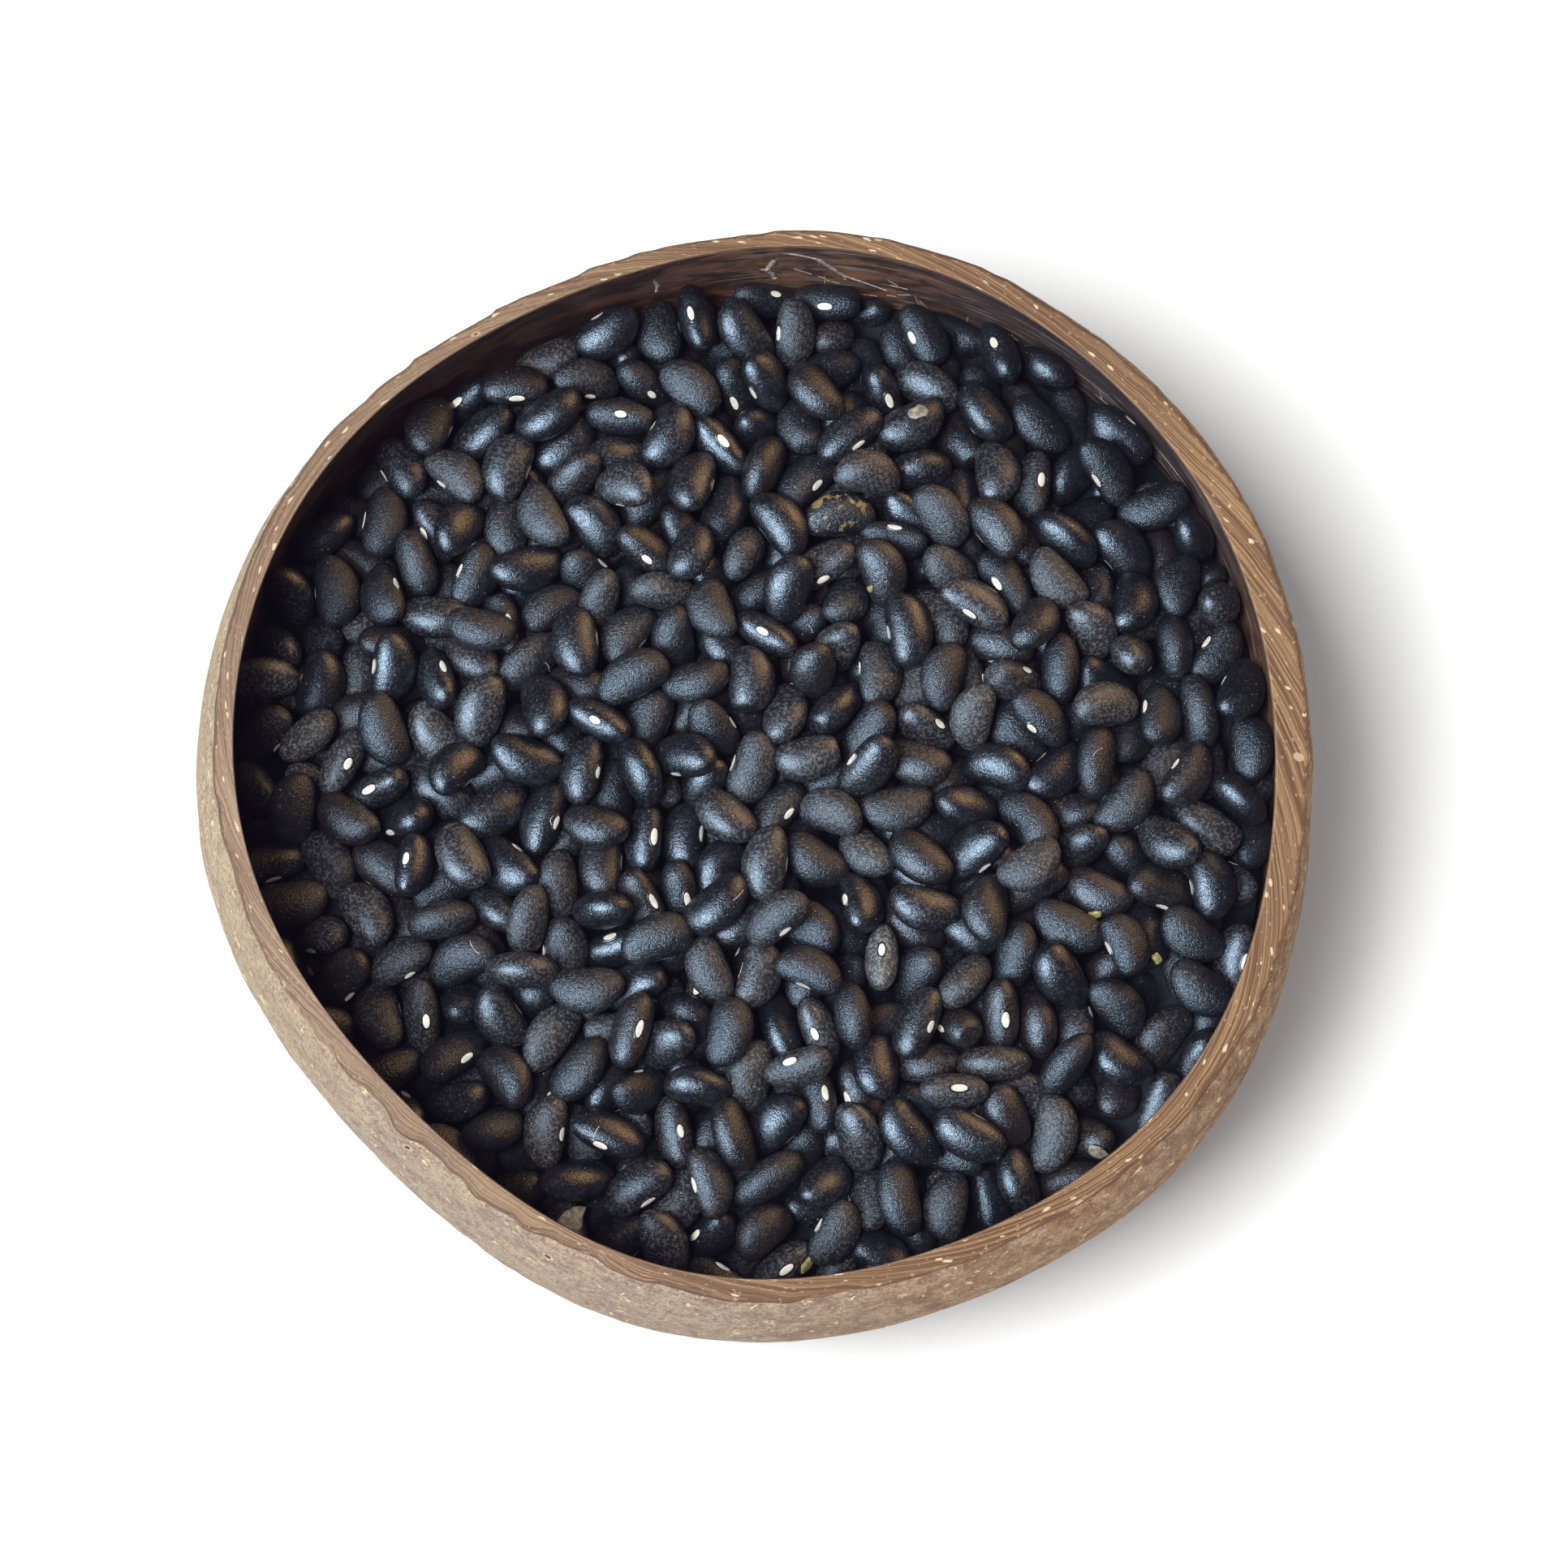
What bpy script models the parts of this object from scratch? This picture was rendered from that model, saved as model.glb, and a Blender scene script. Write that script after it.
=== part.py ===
"""A bowl made of half a coconut shell, filled with dried black beans.

Metres, +Z up. The origin is at the centre of the flat spot that the bowl stands on.
Two solids: the bowl, and the heap of beans. The heap is one body: a core that fills
the bowl up to the middles of the top beans, with the beans that show fused on at true size.
"""

import math
import random

import bmesh
import bpy
import numpy as np

MM = 0.001

# The bowl. A lobe term is (lobes round the rim, swell in mm, degrees from +X to a lobe).
HEIGHT = 70.0 * MM
RIM_RADIUS = 69.4 * MM
RIM_LOBES = ((2, 0.40, -70), (3, 1.15, 54), (4, 0.57, -13), (5, 0.18, -34), (6, 0.38, 21))
WALL = 3.3 * MM
WALL_LOBES = ((1, 0.80, -10), (2, 0.60, 14), (3, 0.16, 13))
BULGE = 2.1 * MM
BULGE_LOBES = ((1, 1.70, -94), (2, 0.80, -25))
SIDE_SWELL = 3.4 * MM
SIDE_SWELL_DEGREES = 48
BELLY_DEPTH = 18.0 * MM
FOOT_RADIUS = 22.0 * MM
FLOOR_THICKNESS = 4.5 * MM
WELL_RADIUS = 14.0 * MM
RIM_CHAMFER = 0.5 * MM
SIDES = 48
OUTER_RINGS = 8
INNER_RINGS = 5
NECK_RINGS = 3
SHARP_DEGREES = 15
SHELL_COLOUR = (0.32, 0.21, 0.14)
SHELL_ROUGHNESS = 0.7

# The surface of the heap: its depth under the rim at the middle, how it falls away and how it slopes.
FILL_DEPTH = 9.5 * MM
CROWN = 1.5 * MM
RISE_TO_RIGHT = 4.0 * MM
RISE_TO_BACK = 1.5 * MM
BEAN_BED = 19.0 * MM

# The heap's core: how far its top lies under the middles of the beans around.
CORE_SINK = 0.9 * MM
CORE_BLEND = 2.6 * MM
TOP_RINGS = 7
WALL_GAP = 0.35 * MM
EDGE_ROUNDS = 8

# The beans: sizes of a middling black bean, and how far each bean strays from them.
BEAN_LENGTH = 9.3 * MM
BEAN_WIDTH = 6.4 * MM
BEAN_THICKNESS = 5.0 * MM
SIZE_SPREAD = 0.11
BEAN_COLOUR = (0.02, 0.02, 0.025)
BEAN_ROUGHNESS = 0.4
SEED = 2063

# How the beans are packed: a loose grid of them sinks, and they push each other apart.
GRID_PITCH = 7.7 * MM
ROW_PITCH = 0.87
SHAKE_ALONG = 0.7
SHAKE_ACROSS = 0.6
LAYER_PITCH = 7.0 * MM
LAYERS = 4
FIRST_LIFT = 0.6
SHAKE_UP = 0.5
TIP_OVER = 0.55
LEAST_SPIN = 0.1
SINK_STEP = 0.08 * MM
SINK_ROUNDS = 400
REST_ROUNDS = 320
WALL_MARGIN = 0.3 * MM
SEARCH_EVERY = 6
SEARCH_REACH = 1.15
SIDE_BALL = 0.42
HURRY = 1.5
TURN_SHARE = 0.5

# The beans that are fused on.
BEAN_SIDES = 6
TIP_REACH = 0.97
TIP_BEND = 0.12
RING_REACH = 0.64
RING_GIRTH = 0.84
MOST_BEANS = 220
DEEPEST_SHOWN = 5.4 * MM
LEAST_APART = 5.9 * MM
KEEP_OFF_WALL = 0.5 * MM
MOST_SHIFT = 2.0 * MM


def lobe_weights(terms):
    """Each term as (lobes, cosine weight, sine weight), in metres."""
    found = []
    for lobes, swell, degrees in terms:
        turn = math.radians(lobes * degrees)
        found.append((lobes, round(swell * math.cos(turn), 6) * MM, round(swell * math.sin(turn), 6) * MM))
    return found


def lobed(terms, cosine, sine):
    """The sum of lobe terms at the angle whose cosine and sine are given."""
    total = cosine * 0.0
    many_cosine = cosine
    many_sine = sine
    reached = 1
    for lobes, cosine_weight, sine_weight in lobe_weights(terms):
        while reached < lobes:
            next_cosine = many_cosine * cosine - many_sine * sine
            many_sine = many_sine * cosine + many_cosine * sine
            many_cosine = next_cosine
            reached += 1
        total = total + cosine_weight * many_cosine + sine_weight * many_sine
    return total


def rim_inner(cosine, sine):
    return RIM_RADIUS + lobed(RIM_LOBES, cosine, sine)


def wall_thickness(cosine, sine):
    return WALL + lobed(WALL_LOBES, cosine, sine)


def bulge(cosine, sine):
    """How far the wall swells out at the belly, with one more swelling at the back right."""
    turn = math.radians(SIDE_SWELL_DEGREES)
    toward = np.maximum(cosine * round(math.cos(turn), 6) + sine * round(math.sin(turn), 6), 0.0)
    toward = toward * toward * toward * toward
    return BULGE + lobed(BULGE_LOBES, cosine, sine) + SIDE_SWELL * toward * toward


def bowl_depth(flat_height, flat_radius):
    """The lower half-axis of an ellipse through the belly that is flat_radius wide at flat_height."""
    share = flat_radius / (RIM_RADIUS + BULGE)
    return (HEIGHT - BELLY_DEPTH - flat_height) / math.sqrt(1 - share * share)


def profile(rim, swell, half_axis, height):
    """Radius of a face of the shell at a height, from its radius at the rim and its bulge."""
    depth = HEIGHT - height
    above = np.maximum(BELLY_DEPTH - depth, 0.0) / BELLY_DEPTH
    below = np.minimum(np.maximum(depth - BELLY_DEPTH, 0.0) / half_axis, 1.0)
    return (rim + swell - swell * above * above) * np.sqrt(1 - below * below)


def outer_radius(cosine, sine, height):
    rim = rim_inner(cosine, sine) + wall_thickness(cosine, sine)
    return profile(rim, bulge(cosine, sine), bowl_depth(0.0, FOOT_RADIUS), height)


def inner_radius(cosine, sine, height):
    half_axis = bowl_depth(FLOOR_THICKNESS, WELL_RADIUS)
    return profile(rim_inner(cosine, sine), bulge(cosine, sine), half_axis, height)


def heap_surface(x, y):
    """Height of the heap's mean surface over the point x, y."""
    away = (x * x + y * y) / (RIM_RADIUS * RIM_RADIUS)
    slope = (RISE_TO_RIGHT * x + RISE_TO_BACK * y) / RIM_RADIUS
    return HEIGHT - FILL_DEPTH - CROWN * away + slope


def ring_heights(lowest, half_axis, rings):
    """Heights of rings from the belly down to lowest, evenly spaced round the ellipse."""
    last = math.asin((HEIGHT - BELLY_DEPTH - lowest) / half_axis)
    return [HEIGHT - BELLY_DEPTH - half_axis * math.sin(last * i / rings) for i in range(1, rings + 1)]


def neck_heights():
    """Heights of rings from under the rim's chamfer down to the belly."""
    top = HEIGHT - RIM_CHAMFER
    belly = HEIGHT - BELLY_DEPTH
    return [top + (belly - top) * i / NECK_RINGS for i in range(NECK_RINGS + 1)]


def inner_heights():
    below = ring_heights(FLOOR_THICKNESS, bowl_depth(FLOOR_THICKNESS, WELL_RADIUS), INNER_RINGS)
    return neck_heights() + below


def directions():
    """Cosine and sine of each side of the rings."""
    turns = [2 * math.pi * i / SIDES for i in range(SIDES)]
    return [(math.cos(turn), math.sin(turn)) for turn in turns]


def ring_points(radius_at, height_at):
    """A ring of points, from a radius and a height for each direction."""
    points = []
    for cosine, sine in directions():
        height = float(height_at(cosine, sine))
        radius = float(radius_at(cosine, sine, height))
        points.append((radius * cosine, radius * sine, height))
    return points


def skin(name, rings):
    """A closed mesh through rings of points, with a flat cap at each end."""
    mesh = bmesh.new()
    made = [[mesh.verts.new(point) for point in ring] for ring in rings]
    for first, second in zip(made, made[1:]):
        for i in range(SIDES):
            j = (i + 1) % SIDES
            mesh.faces.new((first[i], first[j], second[j], second[i]))
    mesh.faces.new(reversed(made[0]))
    mesh.faces.new(made[-1])
    bmesh.ops.recalc_face_normals(mesh, faces=mesh.faces)
    data = bpy.data.meshes.new(name)
    mesh.to_mesh(data)
    mesh.free()
    return data


def material(name, colour, roughness):
    made = bpy.data.materials.new(name)
    made.use_nodes = True
    shader = made.node_tree.nodes["Principled BSDF"]
    shader.inputs["Base Color"].default_value = (*colour, 1)
    shader.inputs["Roughness"].default_value = roughness
    shader.inputs["Metallic"].default_value = 0.0
    return made


def place(name, data, finish):
    obj = bpy.data.objects.new(name, data)
    data.materials.append(finish)
    bpy.context.scene.collection.objects.link(obj)
    return obj


def make_bowl():
    """The shell: up its outer face, across the sawn rim and down its inner face."""
    below = ring_heights(0.0, bowl_depth(0.0, FOOT_RADIUS), OUTER_RINGS)
    rings = []
    for height in reversed(neck_heights() + below):
        rings.append(ring_points(outer_radius, lambda c, s, h=height: h))
    rings.append(ring_points(lambda c, s, h: outer_radius(c, s, h) - RIM_CHAMFER, lambda c, s: HEIGHT))
    rings.append(ring_points(lambda c, s, h: inner_radius(c, s, h) + RIM_CHAMFER, lambda c, s: HEIGHT))
    for height in inner_heights():
        rings.append(ring_points(inner_radius, lambda c, s, h=height: h))
    bowl = place("bowl", skin("bowl", rings), material("coconut_shell", SHELL_COLOUR, SHELL_ROUGHNESS))
    bowl.data.shade_smooth()
    bowl.data.set_sharp_from_angle(angle=math.radians(SHARP_DEGREES))


def faceted_wall(cosine, sine, height):
    """Radius of the bowl's inner face at a height, along the straight lines between its rings."""
    heights = inner_heights()
    found = inner_radius(cosine, sine, heights[0])
    for upper, lower in zip(heights, heights[1:]):
        share = np.clip((upper - height) / (upper - lower), 0, 1)
        found = found + share * (inner_radius(cosine, sine, lower) - inner_radius(cosine, sine, upper))
    return found


def core_radius(cosine, sine, height):
    return float(faceted_wall(cosine, sine, height - WALL_GAP)) - WALL_GAP


def core_top(x, y, middles):
    """Height of the core's top over x, y: just under the middles of the beans near by."""
    apart = (x - middles[0]) ** 2 + (y - middles[1]) ** 2
    weight = 1 / (apart + CORE_BLEND * CORE_BLEND) ** 2
    return float((weight * middles[2]).sum() / weight.sum()) - CORE_SINK


def core_edge_height(cosine, sine, middles):
    """Height at which the core's top meets the inner wall."""
    height = HEIGHT - FILL_DEPTH
    for _ in range(EDGE_ROUNDS):
        radius = core_radius(cosine, sine, height)
        height = core_top(radius * cosine, radius * sine, middles)
    return height


def make_core(middles):
    """The heap's core: the inner wall's shape a small gap inside it, under a top that follows the beans."""
    edges = [core_edge_height(cosine, sine, middles) for cosine, sine in directions()]
    rings = []
    for height in reversed(inner_heights()):
        if height < min(edges) - 2 * WALL_GAP:
            rings.append(ring_points(core_radius, lambda c, s, h=height: h + WALL_GAP))
    for step in range(TOP_RINGS):
        share = 1 - step / (TOP_RINGS - 0.5)
        ring = []
        for (cosine, sine), edge in zip(directions(), edges):
            radius = share * float(core_radius(cosine, sine, edge))
            x, y = radius * cosine, radius * sine
            ring.append((x, y, edge if step == 0 else core_top(x, y, middles)))
        rings.append(ring)
    return place("beans", skin("beans", rings), material("black_beans", BEAN_COLOUR, BEAN_ROUGHNESS))


class Beans:
    """A set of beans: where each lies, how it is turned and how large it is.

    Each bean is held as six balls of its own thickness: one near each tip and four at its
    sides. Every step is plain arithmetic, so the beans come to rest alike on any machine.
    """

    def __init__(self):
        draw = random.Random(SEED)
        starts, turns, scales = [], [], []
        reach = int(RIM_RADIUS / GRID_PITCH) + 2
        for layer in range(LAYERS):
            for row in range(-reach, reach + 1):
                for column in range(-reach, reach + 1):
                    x = (column + 0.5 * (row % 2) + SHAKE_ALONG * (draw.random() - 0.5)) * GRID_PITCH
                    y = (row * ROW_PITCH + SHAKE_ACROSS * (draw.random() - 0.5)) * GRID_PITCH
                    lift = (layer + FIRST_LIFT + SHAKE_UP * draw.random()) * LAYER_PITCH
                    turn = self.random_turn(draw)
                    scale = [1 + SIZE_SPREAD * (draw.random() + draw.random() - 1) for _ in range(3)]
                    if x * x + y * y < (RIM_RADIUS - BEAN_WIDTH / 2) ** 2:
                        starts.append((x, y, heap_surface(x, y) - BEAN_BED + lift))
                        turns.append(turn)
                        scales.append(scale)
        self.place = np.array(starts).T.copy()
        self.turn = np.array(turns).T.copy()
        scale = np.array(scales).T
        overall = 0.5 * (1 + scale[0])
        self.length = BEAN_LENGTH * scale[0]
        self.width = BEAN_WIDTH * 0.5 * (overall + scale[1])
        self.thickness = BEAN_THICKNESS * 0.5 * (overall + scale[2])
        self.count = len(starts)

    @staticmethod
    def random_turn(draw):
        """A unit quaternion whose tip-over is less than its spin, so that most beans lie flat."""
        w, x, y, z = [2 * draw.random() - 1 for _ in range(4)]
        turn = [w + math.copysign(LEAST_SPIN, w), x * TIP_OVER, y * TIP_OVER, z]
        size = math.sqrt(sum(part * part for part in turn))
        return [part / size for part in turn]

    def axes(self):
        """The beans' long, wide and thick axes, as nine arrays."""
        w, x, y, z = self.turn
        along = (1 - 2 * (y * y + z * z), 2 * (x * y + w * z), 2 * (x * z - w * y))
        across = (2 * (x * y - w * z), 1 - 2 * (x * x + z * z), 2 * (y * z + w * x))
        through = (2 * (x * z + w * y), 2 * (y * z - w * x), 1 - 2 * (x * x + y * y))
        return along, across, through

    def balls(self):
        """Each ball's offset from its bean's middle: (axis, ball, bean)."""
        along, across, _ = self.axes()
        ball = self.thickness / 2
        tip = self.length / 2 - ball
        side = self.width / 2 - ball
        inner = SIDE_BALL * tip
        spots = ((tip, 0), (-tip, 0), (inner, side), (-inner, side), (inner, -side), (-inner, -side))
        return np.array([[along[k] * u + across[k] * v for u, v in spots] for k in range(3)])

    def near_pairs(self):
        """Pairs of beans close enough to touch in the next few rounds."""
        x, y, z = self.place
        first, second = np.triu_indices(self.count, 1)
        gap = (x[first] - x[second]) ** 2 + (y[first] - y[second]) ** 2 + (z[first] - z[second]) ** 2
        near = gap < (SEARCH_REACH * BEAN_LENGTH) ** 2
        return first[near], second[near]

    def shift(self, pushes):
        """Moves and turns each bean by the mean of its pushes: (bean, arm, normal, amount)."""
        ease = 4 / (BEAN_WIDTH * BEAN_WIDTH)
        total = np.zeros((7, self.count))
        for bean, arm, normal, amount in pushes:
            twist = cross(arm, normal)
            for k in range(3):
                total[k] += np.bincount(bean, normal[k] * amount, self.count)
                total[3 + k] += np.bincount(bean, ease * twist[k] * amount, self.count)
            total[6] += np.bincount(bean, None, self.count)
        share = HURRY / np.maximum(total[6], HURRY)
        self.place += total[:3] * share
        tx, ty, tz = total[3:6] * share * TURN_SHARE
        w, x, y, z = self.turn
        turned = np.array([
            w - tx * x - ty * y - tz * z,
            x + tx * w + ty * z - tz * y,
            y + ty * w + tz * x - tx * z,
            z + tz * w + tx * y - ty * x,
        ])
        size = np.sqrt(turned[0] ** 2 + turned[1] ** 2 + turned[2] ** 2 + turned[3] ** 2)
        self.turn = turned / size

    def push_apart(self, pairs):
        """Pushes between beans that overlap, and from the shell's wall and the bed below."""
        ease = 4 / (BEAN_WIDTH * BEAN_WIDTH)
        arm = self.balls()
        spot = arm + self.place[:, None, :]
        ball = self.thickness / 2
        first, second = pairs
        pushes = []

        gap = spot[:, :, None, first] - spot[:, None, :, second]
        apart = gap[0] ** 2 + gap[1] ** 2 + gap[2] ** 2
        reach = ball[first] + ball[second]
        a, b, pair = np.nonzero(apart < reach * reach)
        distance = np.sqrt(apart[a, b, pair])
        normal = gap[:, a, b, pair] / distance
        arm_a, arm_b = arm[:, a, first[pair]], arm[:, b, second[pair]]
        give = 2 + ease * (squared(cross(arm_a, normal)) + squared(cross(arm_b, normal)))
        amount = (reach[pair] - distance) / give
        pushes.append((first[pair], arm_a, normal, amount))
        pushes.append((second[pair], arm_b, -normal, amount))

        away = np.sqrt(spot[0] ** 2 + spot[1] ** 2)
        cosine, sine = spot[0] / away, spot[1] / away
        over = away + ball + WALL_MARGIN - inner_radius(cosine, sine, np.minimum(spot[2], HEIGHT))
        a, bean = np.nonzero(over > 0)
        inward = np.array([-cosine[a, bean], -sine[a, bean], np.zeros(len(a))])
        pushes.append(self.held(bean, arm[:, a, bean], inward, over[a, bean], ease))

        under = heap_surface(spot[0], spot[1]) - BEAN_BED + ball - spot[2]
        a, bean = np.nonzero(under > 0)
        upward = np.array([np.zeros(len(a)), np.zeros(len(a)), np.ones(len(a))])
        pushes.append(self.held(bean, arm[:, a, bean], upward, under[a, bean], ease))
        self.shift(pushes)

    @staticmethod
    def held(bean, arm, normal, depth, ease):
        """A push from something that doesn't move."""
        return bean, arm, normal, depth / (1 + ease * squared(cross(arm, normal)))

    def settle(self):
        for step in range(SINK_ROUNDS + REST_ROUNDS):
            if step % SEARCH_EVERY == 0:
                pairs = self.near_pairs()
            if step < SINK_ROUNDS:
                self.place[2] -= SINK_STEP
            self.push_apart(pairs)
        return self


def cross(a, b):
    return np.array([a[1] * b[2] - a[2] * b[1], a[2] * b[0] - a[0] * b[2], a[0] * b[1] - a[1] * b[0]])


def squared(a):
    return a[0] * a[0] + a[1] * a[1] + a[2] * a[2]


def bean_points():
    """A few-sided bean of half-axes 1: its two tips, then two rings round its long axis."""
    points = [(-TIP_REACH, TIP_BEND, 0.0)]
    for x in (-RING_REACH, RING_REACH):
        for i in range(BEAN_SIDES):
            turn = 2 * math.pi * (i + 0.5) / BEAN_SIDES
            points.append((x, RING_GIRTH * math.cos(turn), RING_GIRTH * math.sin(turn)))
    points.append((TIP_REACH, TIP_BEND, 0.0))
    return points


def bean_faces():
    """Faces of the few-sided bean, facing out."""
    last = 1 + 2 * BEAN_SIDES
    faces = []
    for i in range(BEAN_SIDES):
        a, b = 1 + i, 1 + (i + 1) % BEAN_SIDES
        faces += [(0, b, a), (a, b, b + BEAN_SIDES, a + BEAN_SIDES), (last, a + BEAN_SIDES, b + BEAN_SIDES)]
    return faces


def beans_that_show(beans):
    """The few-sided beans that aren't buried or under another, highest first, and their middles."""
    along, across, through = beans.axes()
    shape = np.array(bean_points())
    show = beans.place[2] - heap_surface(beans.place[0], beans.place[1]) + DEEPEST_SHOWN
    taken, meshes = [], []
    for i in np.argsort(-show, kind="stable"):
        x, y, z = beans.place[:, i]
        near = any((x - a) ** 2 + (y - b) ** 2 < LEAST_APART * LEAST_APART for a, b, _ in taken)
        if near or show[i] < 0 or len(meshes) == MOST_BEANS:
            continue
        halves = (beans.length[i] / 2, beans.width[i] / 2, beans.thickness[i] / 2)
        u, v, w = (shape * halves).T
        turned = [u * along[k][i] + v * across[k][i] + w * through[k][i] for k in range(3)]
        points = [beans.place[k, i] + turned[k] for k in range(3)]
        away = np.sqrt(points[0] ** 2 + points[1] ** 2)
        room = faceted_wall(points[0] / away, points[1] / away, points[2]) - away
        crossing = KEEP_OFF_WALL - room.min()
        if crossing > MOST_SHIFT:
            continue
        share = max(crossing, 0) / math.sqrt(x * x + y * y)
        points[0] -= x * share
        points[1] -= y * share
        taken.append((x, y, z))
        meshes.append(np.array(points).T)
    return meshes, np.array(taken).T


def fuse(core, pieces):
    """Joins the few-sided beans to the core, and keeps the largest body without its sealed hollows."""
    group = bpy.data.collections.new("loose_beans")
    bpy.context.scene.collection.children.link(group)
    faces = bean_faces()
    for points in pieces:
        data = bpy.data.meshes.new("loose_bean")
        data.from_pydata([tuple(point) for point in points], [], faces)
        group.objects.link(bpy.data.objects.new("loose_bean", data))
    join = core.modifiers.new("join", "BOOLEAN")
    join.operation = "UNION"
    join.operand_type = "COLLECTION"
    join.collection = group
    join.solver = "MANIFOLD"
    graph = bpy.context.evaluated_depsgraph_get()
    joined = bpy.data.meshes.new_from_object(core.evaluated_get(graph))
    core.modifiers.clear()
    core.data = joined
    for loose in list(group.objects):
        bpy.data.objects.remove(loose)
    bpy.data.collections.remove(group)
    keep_largest_body(joined)


def keep_largest_body(data):
    mesh = bmesh.new()
    mesh.from_mesh(data)
    mesh.verts.ensure_lookup_table()
    left = set(mesh.verts)
    bodies = []
    while left:
        body, edge = set(), [next(iter(left))]
        while edge:
            vert = edge.pop()
            if vert not in body:
                body.add(vert)
                edge += [link.other_vert(vert) for link in vert.link_edges]
        bodies.append(body)
        left -= body
    bodies.sort(key=len)
    scraps = [vert for body in bodies[:-1] for vert in body]
    bmesh.ops.delete(mesh, geom=scraps, context="VERTS")
    mesh.to_mesh(data)
    mesh.free()


def main():
    for obj in list(bpy.data.objects):
        bpy.data.objects.remove(obj)
    make_bowl()
    pieces, middles = beans_that_show(Beans().settle())
    fuse(make_core(middles), pieces)


main()
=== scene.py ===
"""A coconut-shell bowl of dried black beans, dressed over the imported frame."""

import math
import random

import bpy
import numpy as np
from mathutils import Matrix, Vector


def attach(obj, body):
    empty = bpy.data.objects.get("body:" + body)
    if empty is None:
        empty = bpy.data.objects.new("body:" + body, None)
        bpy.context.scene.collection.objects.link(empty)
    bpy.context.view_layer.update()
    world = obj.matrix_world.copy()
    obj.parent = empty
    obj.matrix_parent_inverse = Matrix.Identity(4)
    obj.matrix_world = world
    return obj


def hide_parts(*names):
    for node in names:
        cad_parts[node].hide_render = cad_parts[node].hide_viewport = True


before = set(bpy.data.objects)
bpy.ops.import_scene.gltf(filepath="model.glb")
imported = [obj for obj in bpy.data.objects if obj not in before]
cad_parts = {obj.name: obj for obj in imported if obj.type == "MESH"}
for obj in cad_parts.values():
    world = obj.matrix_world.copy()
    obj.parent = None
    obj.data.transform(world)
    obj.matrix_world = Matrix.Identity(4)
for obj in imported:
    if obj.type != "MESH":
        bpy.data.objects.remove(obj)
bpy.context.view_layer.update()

MM = 0.001

# The bowl's outline, as in the part. A lobe term is (lobes, swell in mm, degrees from +X to a lobe).
HEIGHT = 70.0 * MM
RIM_RADIUS = 69.4 * MM
RIM_LOBES = ((2, 0.40, -70), (3, 1.15, 54), (4, 0.57, -13), (5, 0.18, -34), (6, 0.38, 21))
WALL = 3.3 * MM
WALL_LOBES = ((1, 0.80, -10), (2, 0.60, 14), (3, 0.16, 13))
BULGE = 2.1 * MM
BULGE_LOBES = ((1, 1.70, -94), (2, 0.80, -25))
SIDE_SWELL = 3.4 * MM
SIDE_SWELL_DEGREES = 48
BELLY_DEPTH = 18.0 * MM
FOOT_RADIUS = 22.0 * MM
FLOOR_THICKNESS = 4.5 * MM
WELL_RADIUS = 14.0 * MM

# The surface of the heap, as in the part.
FILL_DEPTH = 9.5 * MM
CROWN = 1.5 * MM
RISE_TO_RIGHT = 4.0 * MM
RISE_TO_BACK = 1.5 * MM
BEAN_BED = 19.0 * MM

# The beans and how they are packed, as in the part.
BEAN_LENGTH = 9.3 * MM
BEAN_WIDTH = 6.4 * MM
BEAN_THICKNESS = 5.0 * MM
SIZE_SPREAD = 0.11
SEED = 2063
GRID_PITCH = 7.7 * MM
ROW_PITCH = 0.87
SHAKE_ALONG = 0.7
SHAKE_ACROSS = 0.6
LAYER_PITCH = 7.0 * MM
LAYERS = 4
FIRST_LIFT = 0.6
SHAKE_UP = 0.5
TIP_OVER = 0.55
LEAST_SPIN = 0.1
SINK_STEP = 0.08 * MM
SINK_ROUNDS = 400
REST_ROUNDS = 320
WALL_MARGIN = 0.3 * MM
SEARCH_EVERY = 6
SEARCH_REACH = 1.15
SIDE_BALL = 0.42
HURRY = 1.5
TURN_SHARE = 0.5

# The beans' real shape.
BEAN_RINGS = 15
BEAN_SIDES = 22
BURIED = 11.5 * MM
CORE_SINK = 9.0 * MM

# The pale scar on a bean. A ring of it is its share of the scar's size, its height over the skin in mm
# and its finish, 0 for the pale scar and 1 for the dark rim.
HILUM_SIDES = 16
HILUM_RINGS = (
    (0.0, 0.03, 0), (0.45, 0.05, 0), (0.85, 0.05, 0), (1.0, 0.01, 0),
    (1.12, 0.07, 1), (1.3, 0.05, 1), (1.5, -0.06, 1),
)

# The dark core under the beans that are made, painted as deep shade.
CORE_SIDES = 96
CORE_BOTTOM = 6.5 * MM
CORE_WALL_TOP = 44 * MM
CORE_TOP = 47 * MM
CORE_GAP = 1.2 * MM

# The bowl's mesh. FLOW_RADIUS turns angles into lengths for the grain of its finishes.
BOWL_SIDES = 480
OUTER_STEPS = 34
INNER_STEPS = 14
RIM_STEPS = 14
FLOW_RADIUS = 74 * MM
# Where the outline steps in at the upper left, in degrees, and by how many mm.
SAW_STEPS = ((132.6, 0.22), (122.0, 0.20), (111.0, 0.16))
WORN_DEGREES = 236
WORN_SPREAD = 34

# The camera: 600 mm from the middle of the rim, leaning back from straight above.
CAMERA_TARGET = Vector((2.14 * MM, -5.07 * MM, HEIGHT))
CAMERA_DISTANCE = 0.6
CAMERA_TILT = math.radians(13.71)
CAMERA_SIDE = math.radians(252.8)
CAMERA_LENS = 103.98
SENSOR = 36.0
FRAME_PIXELS = 1932

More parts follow.
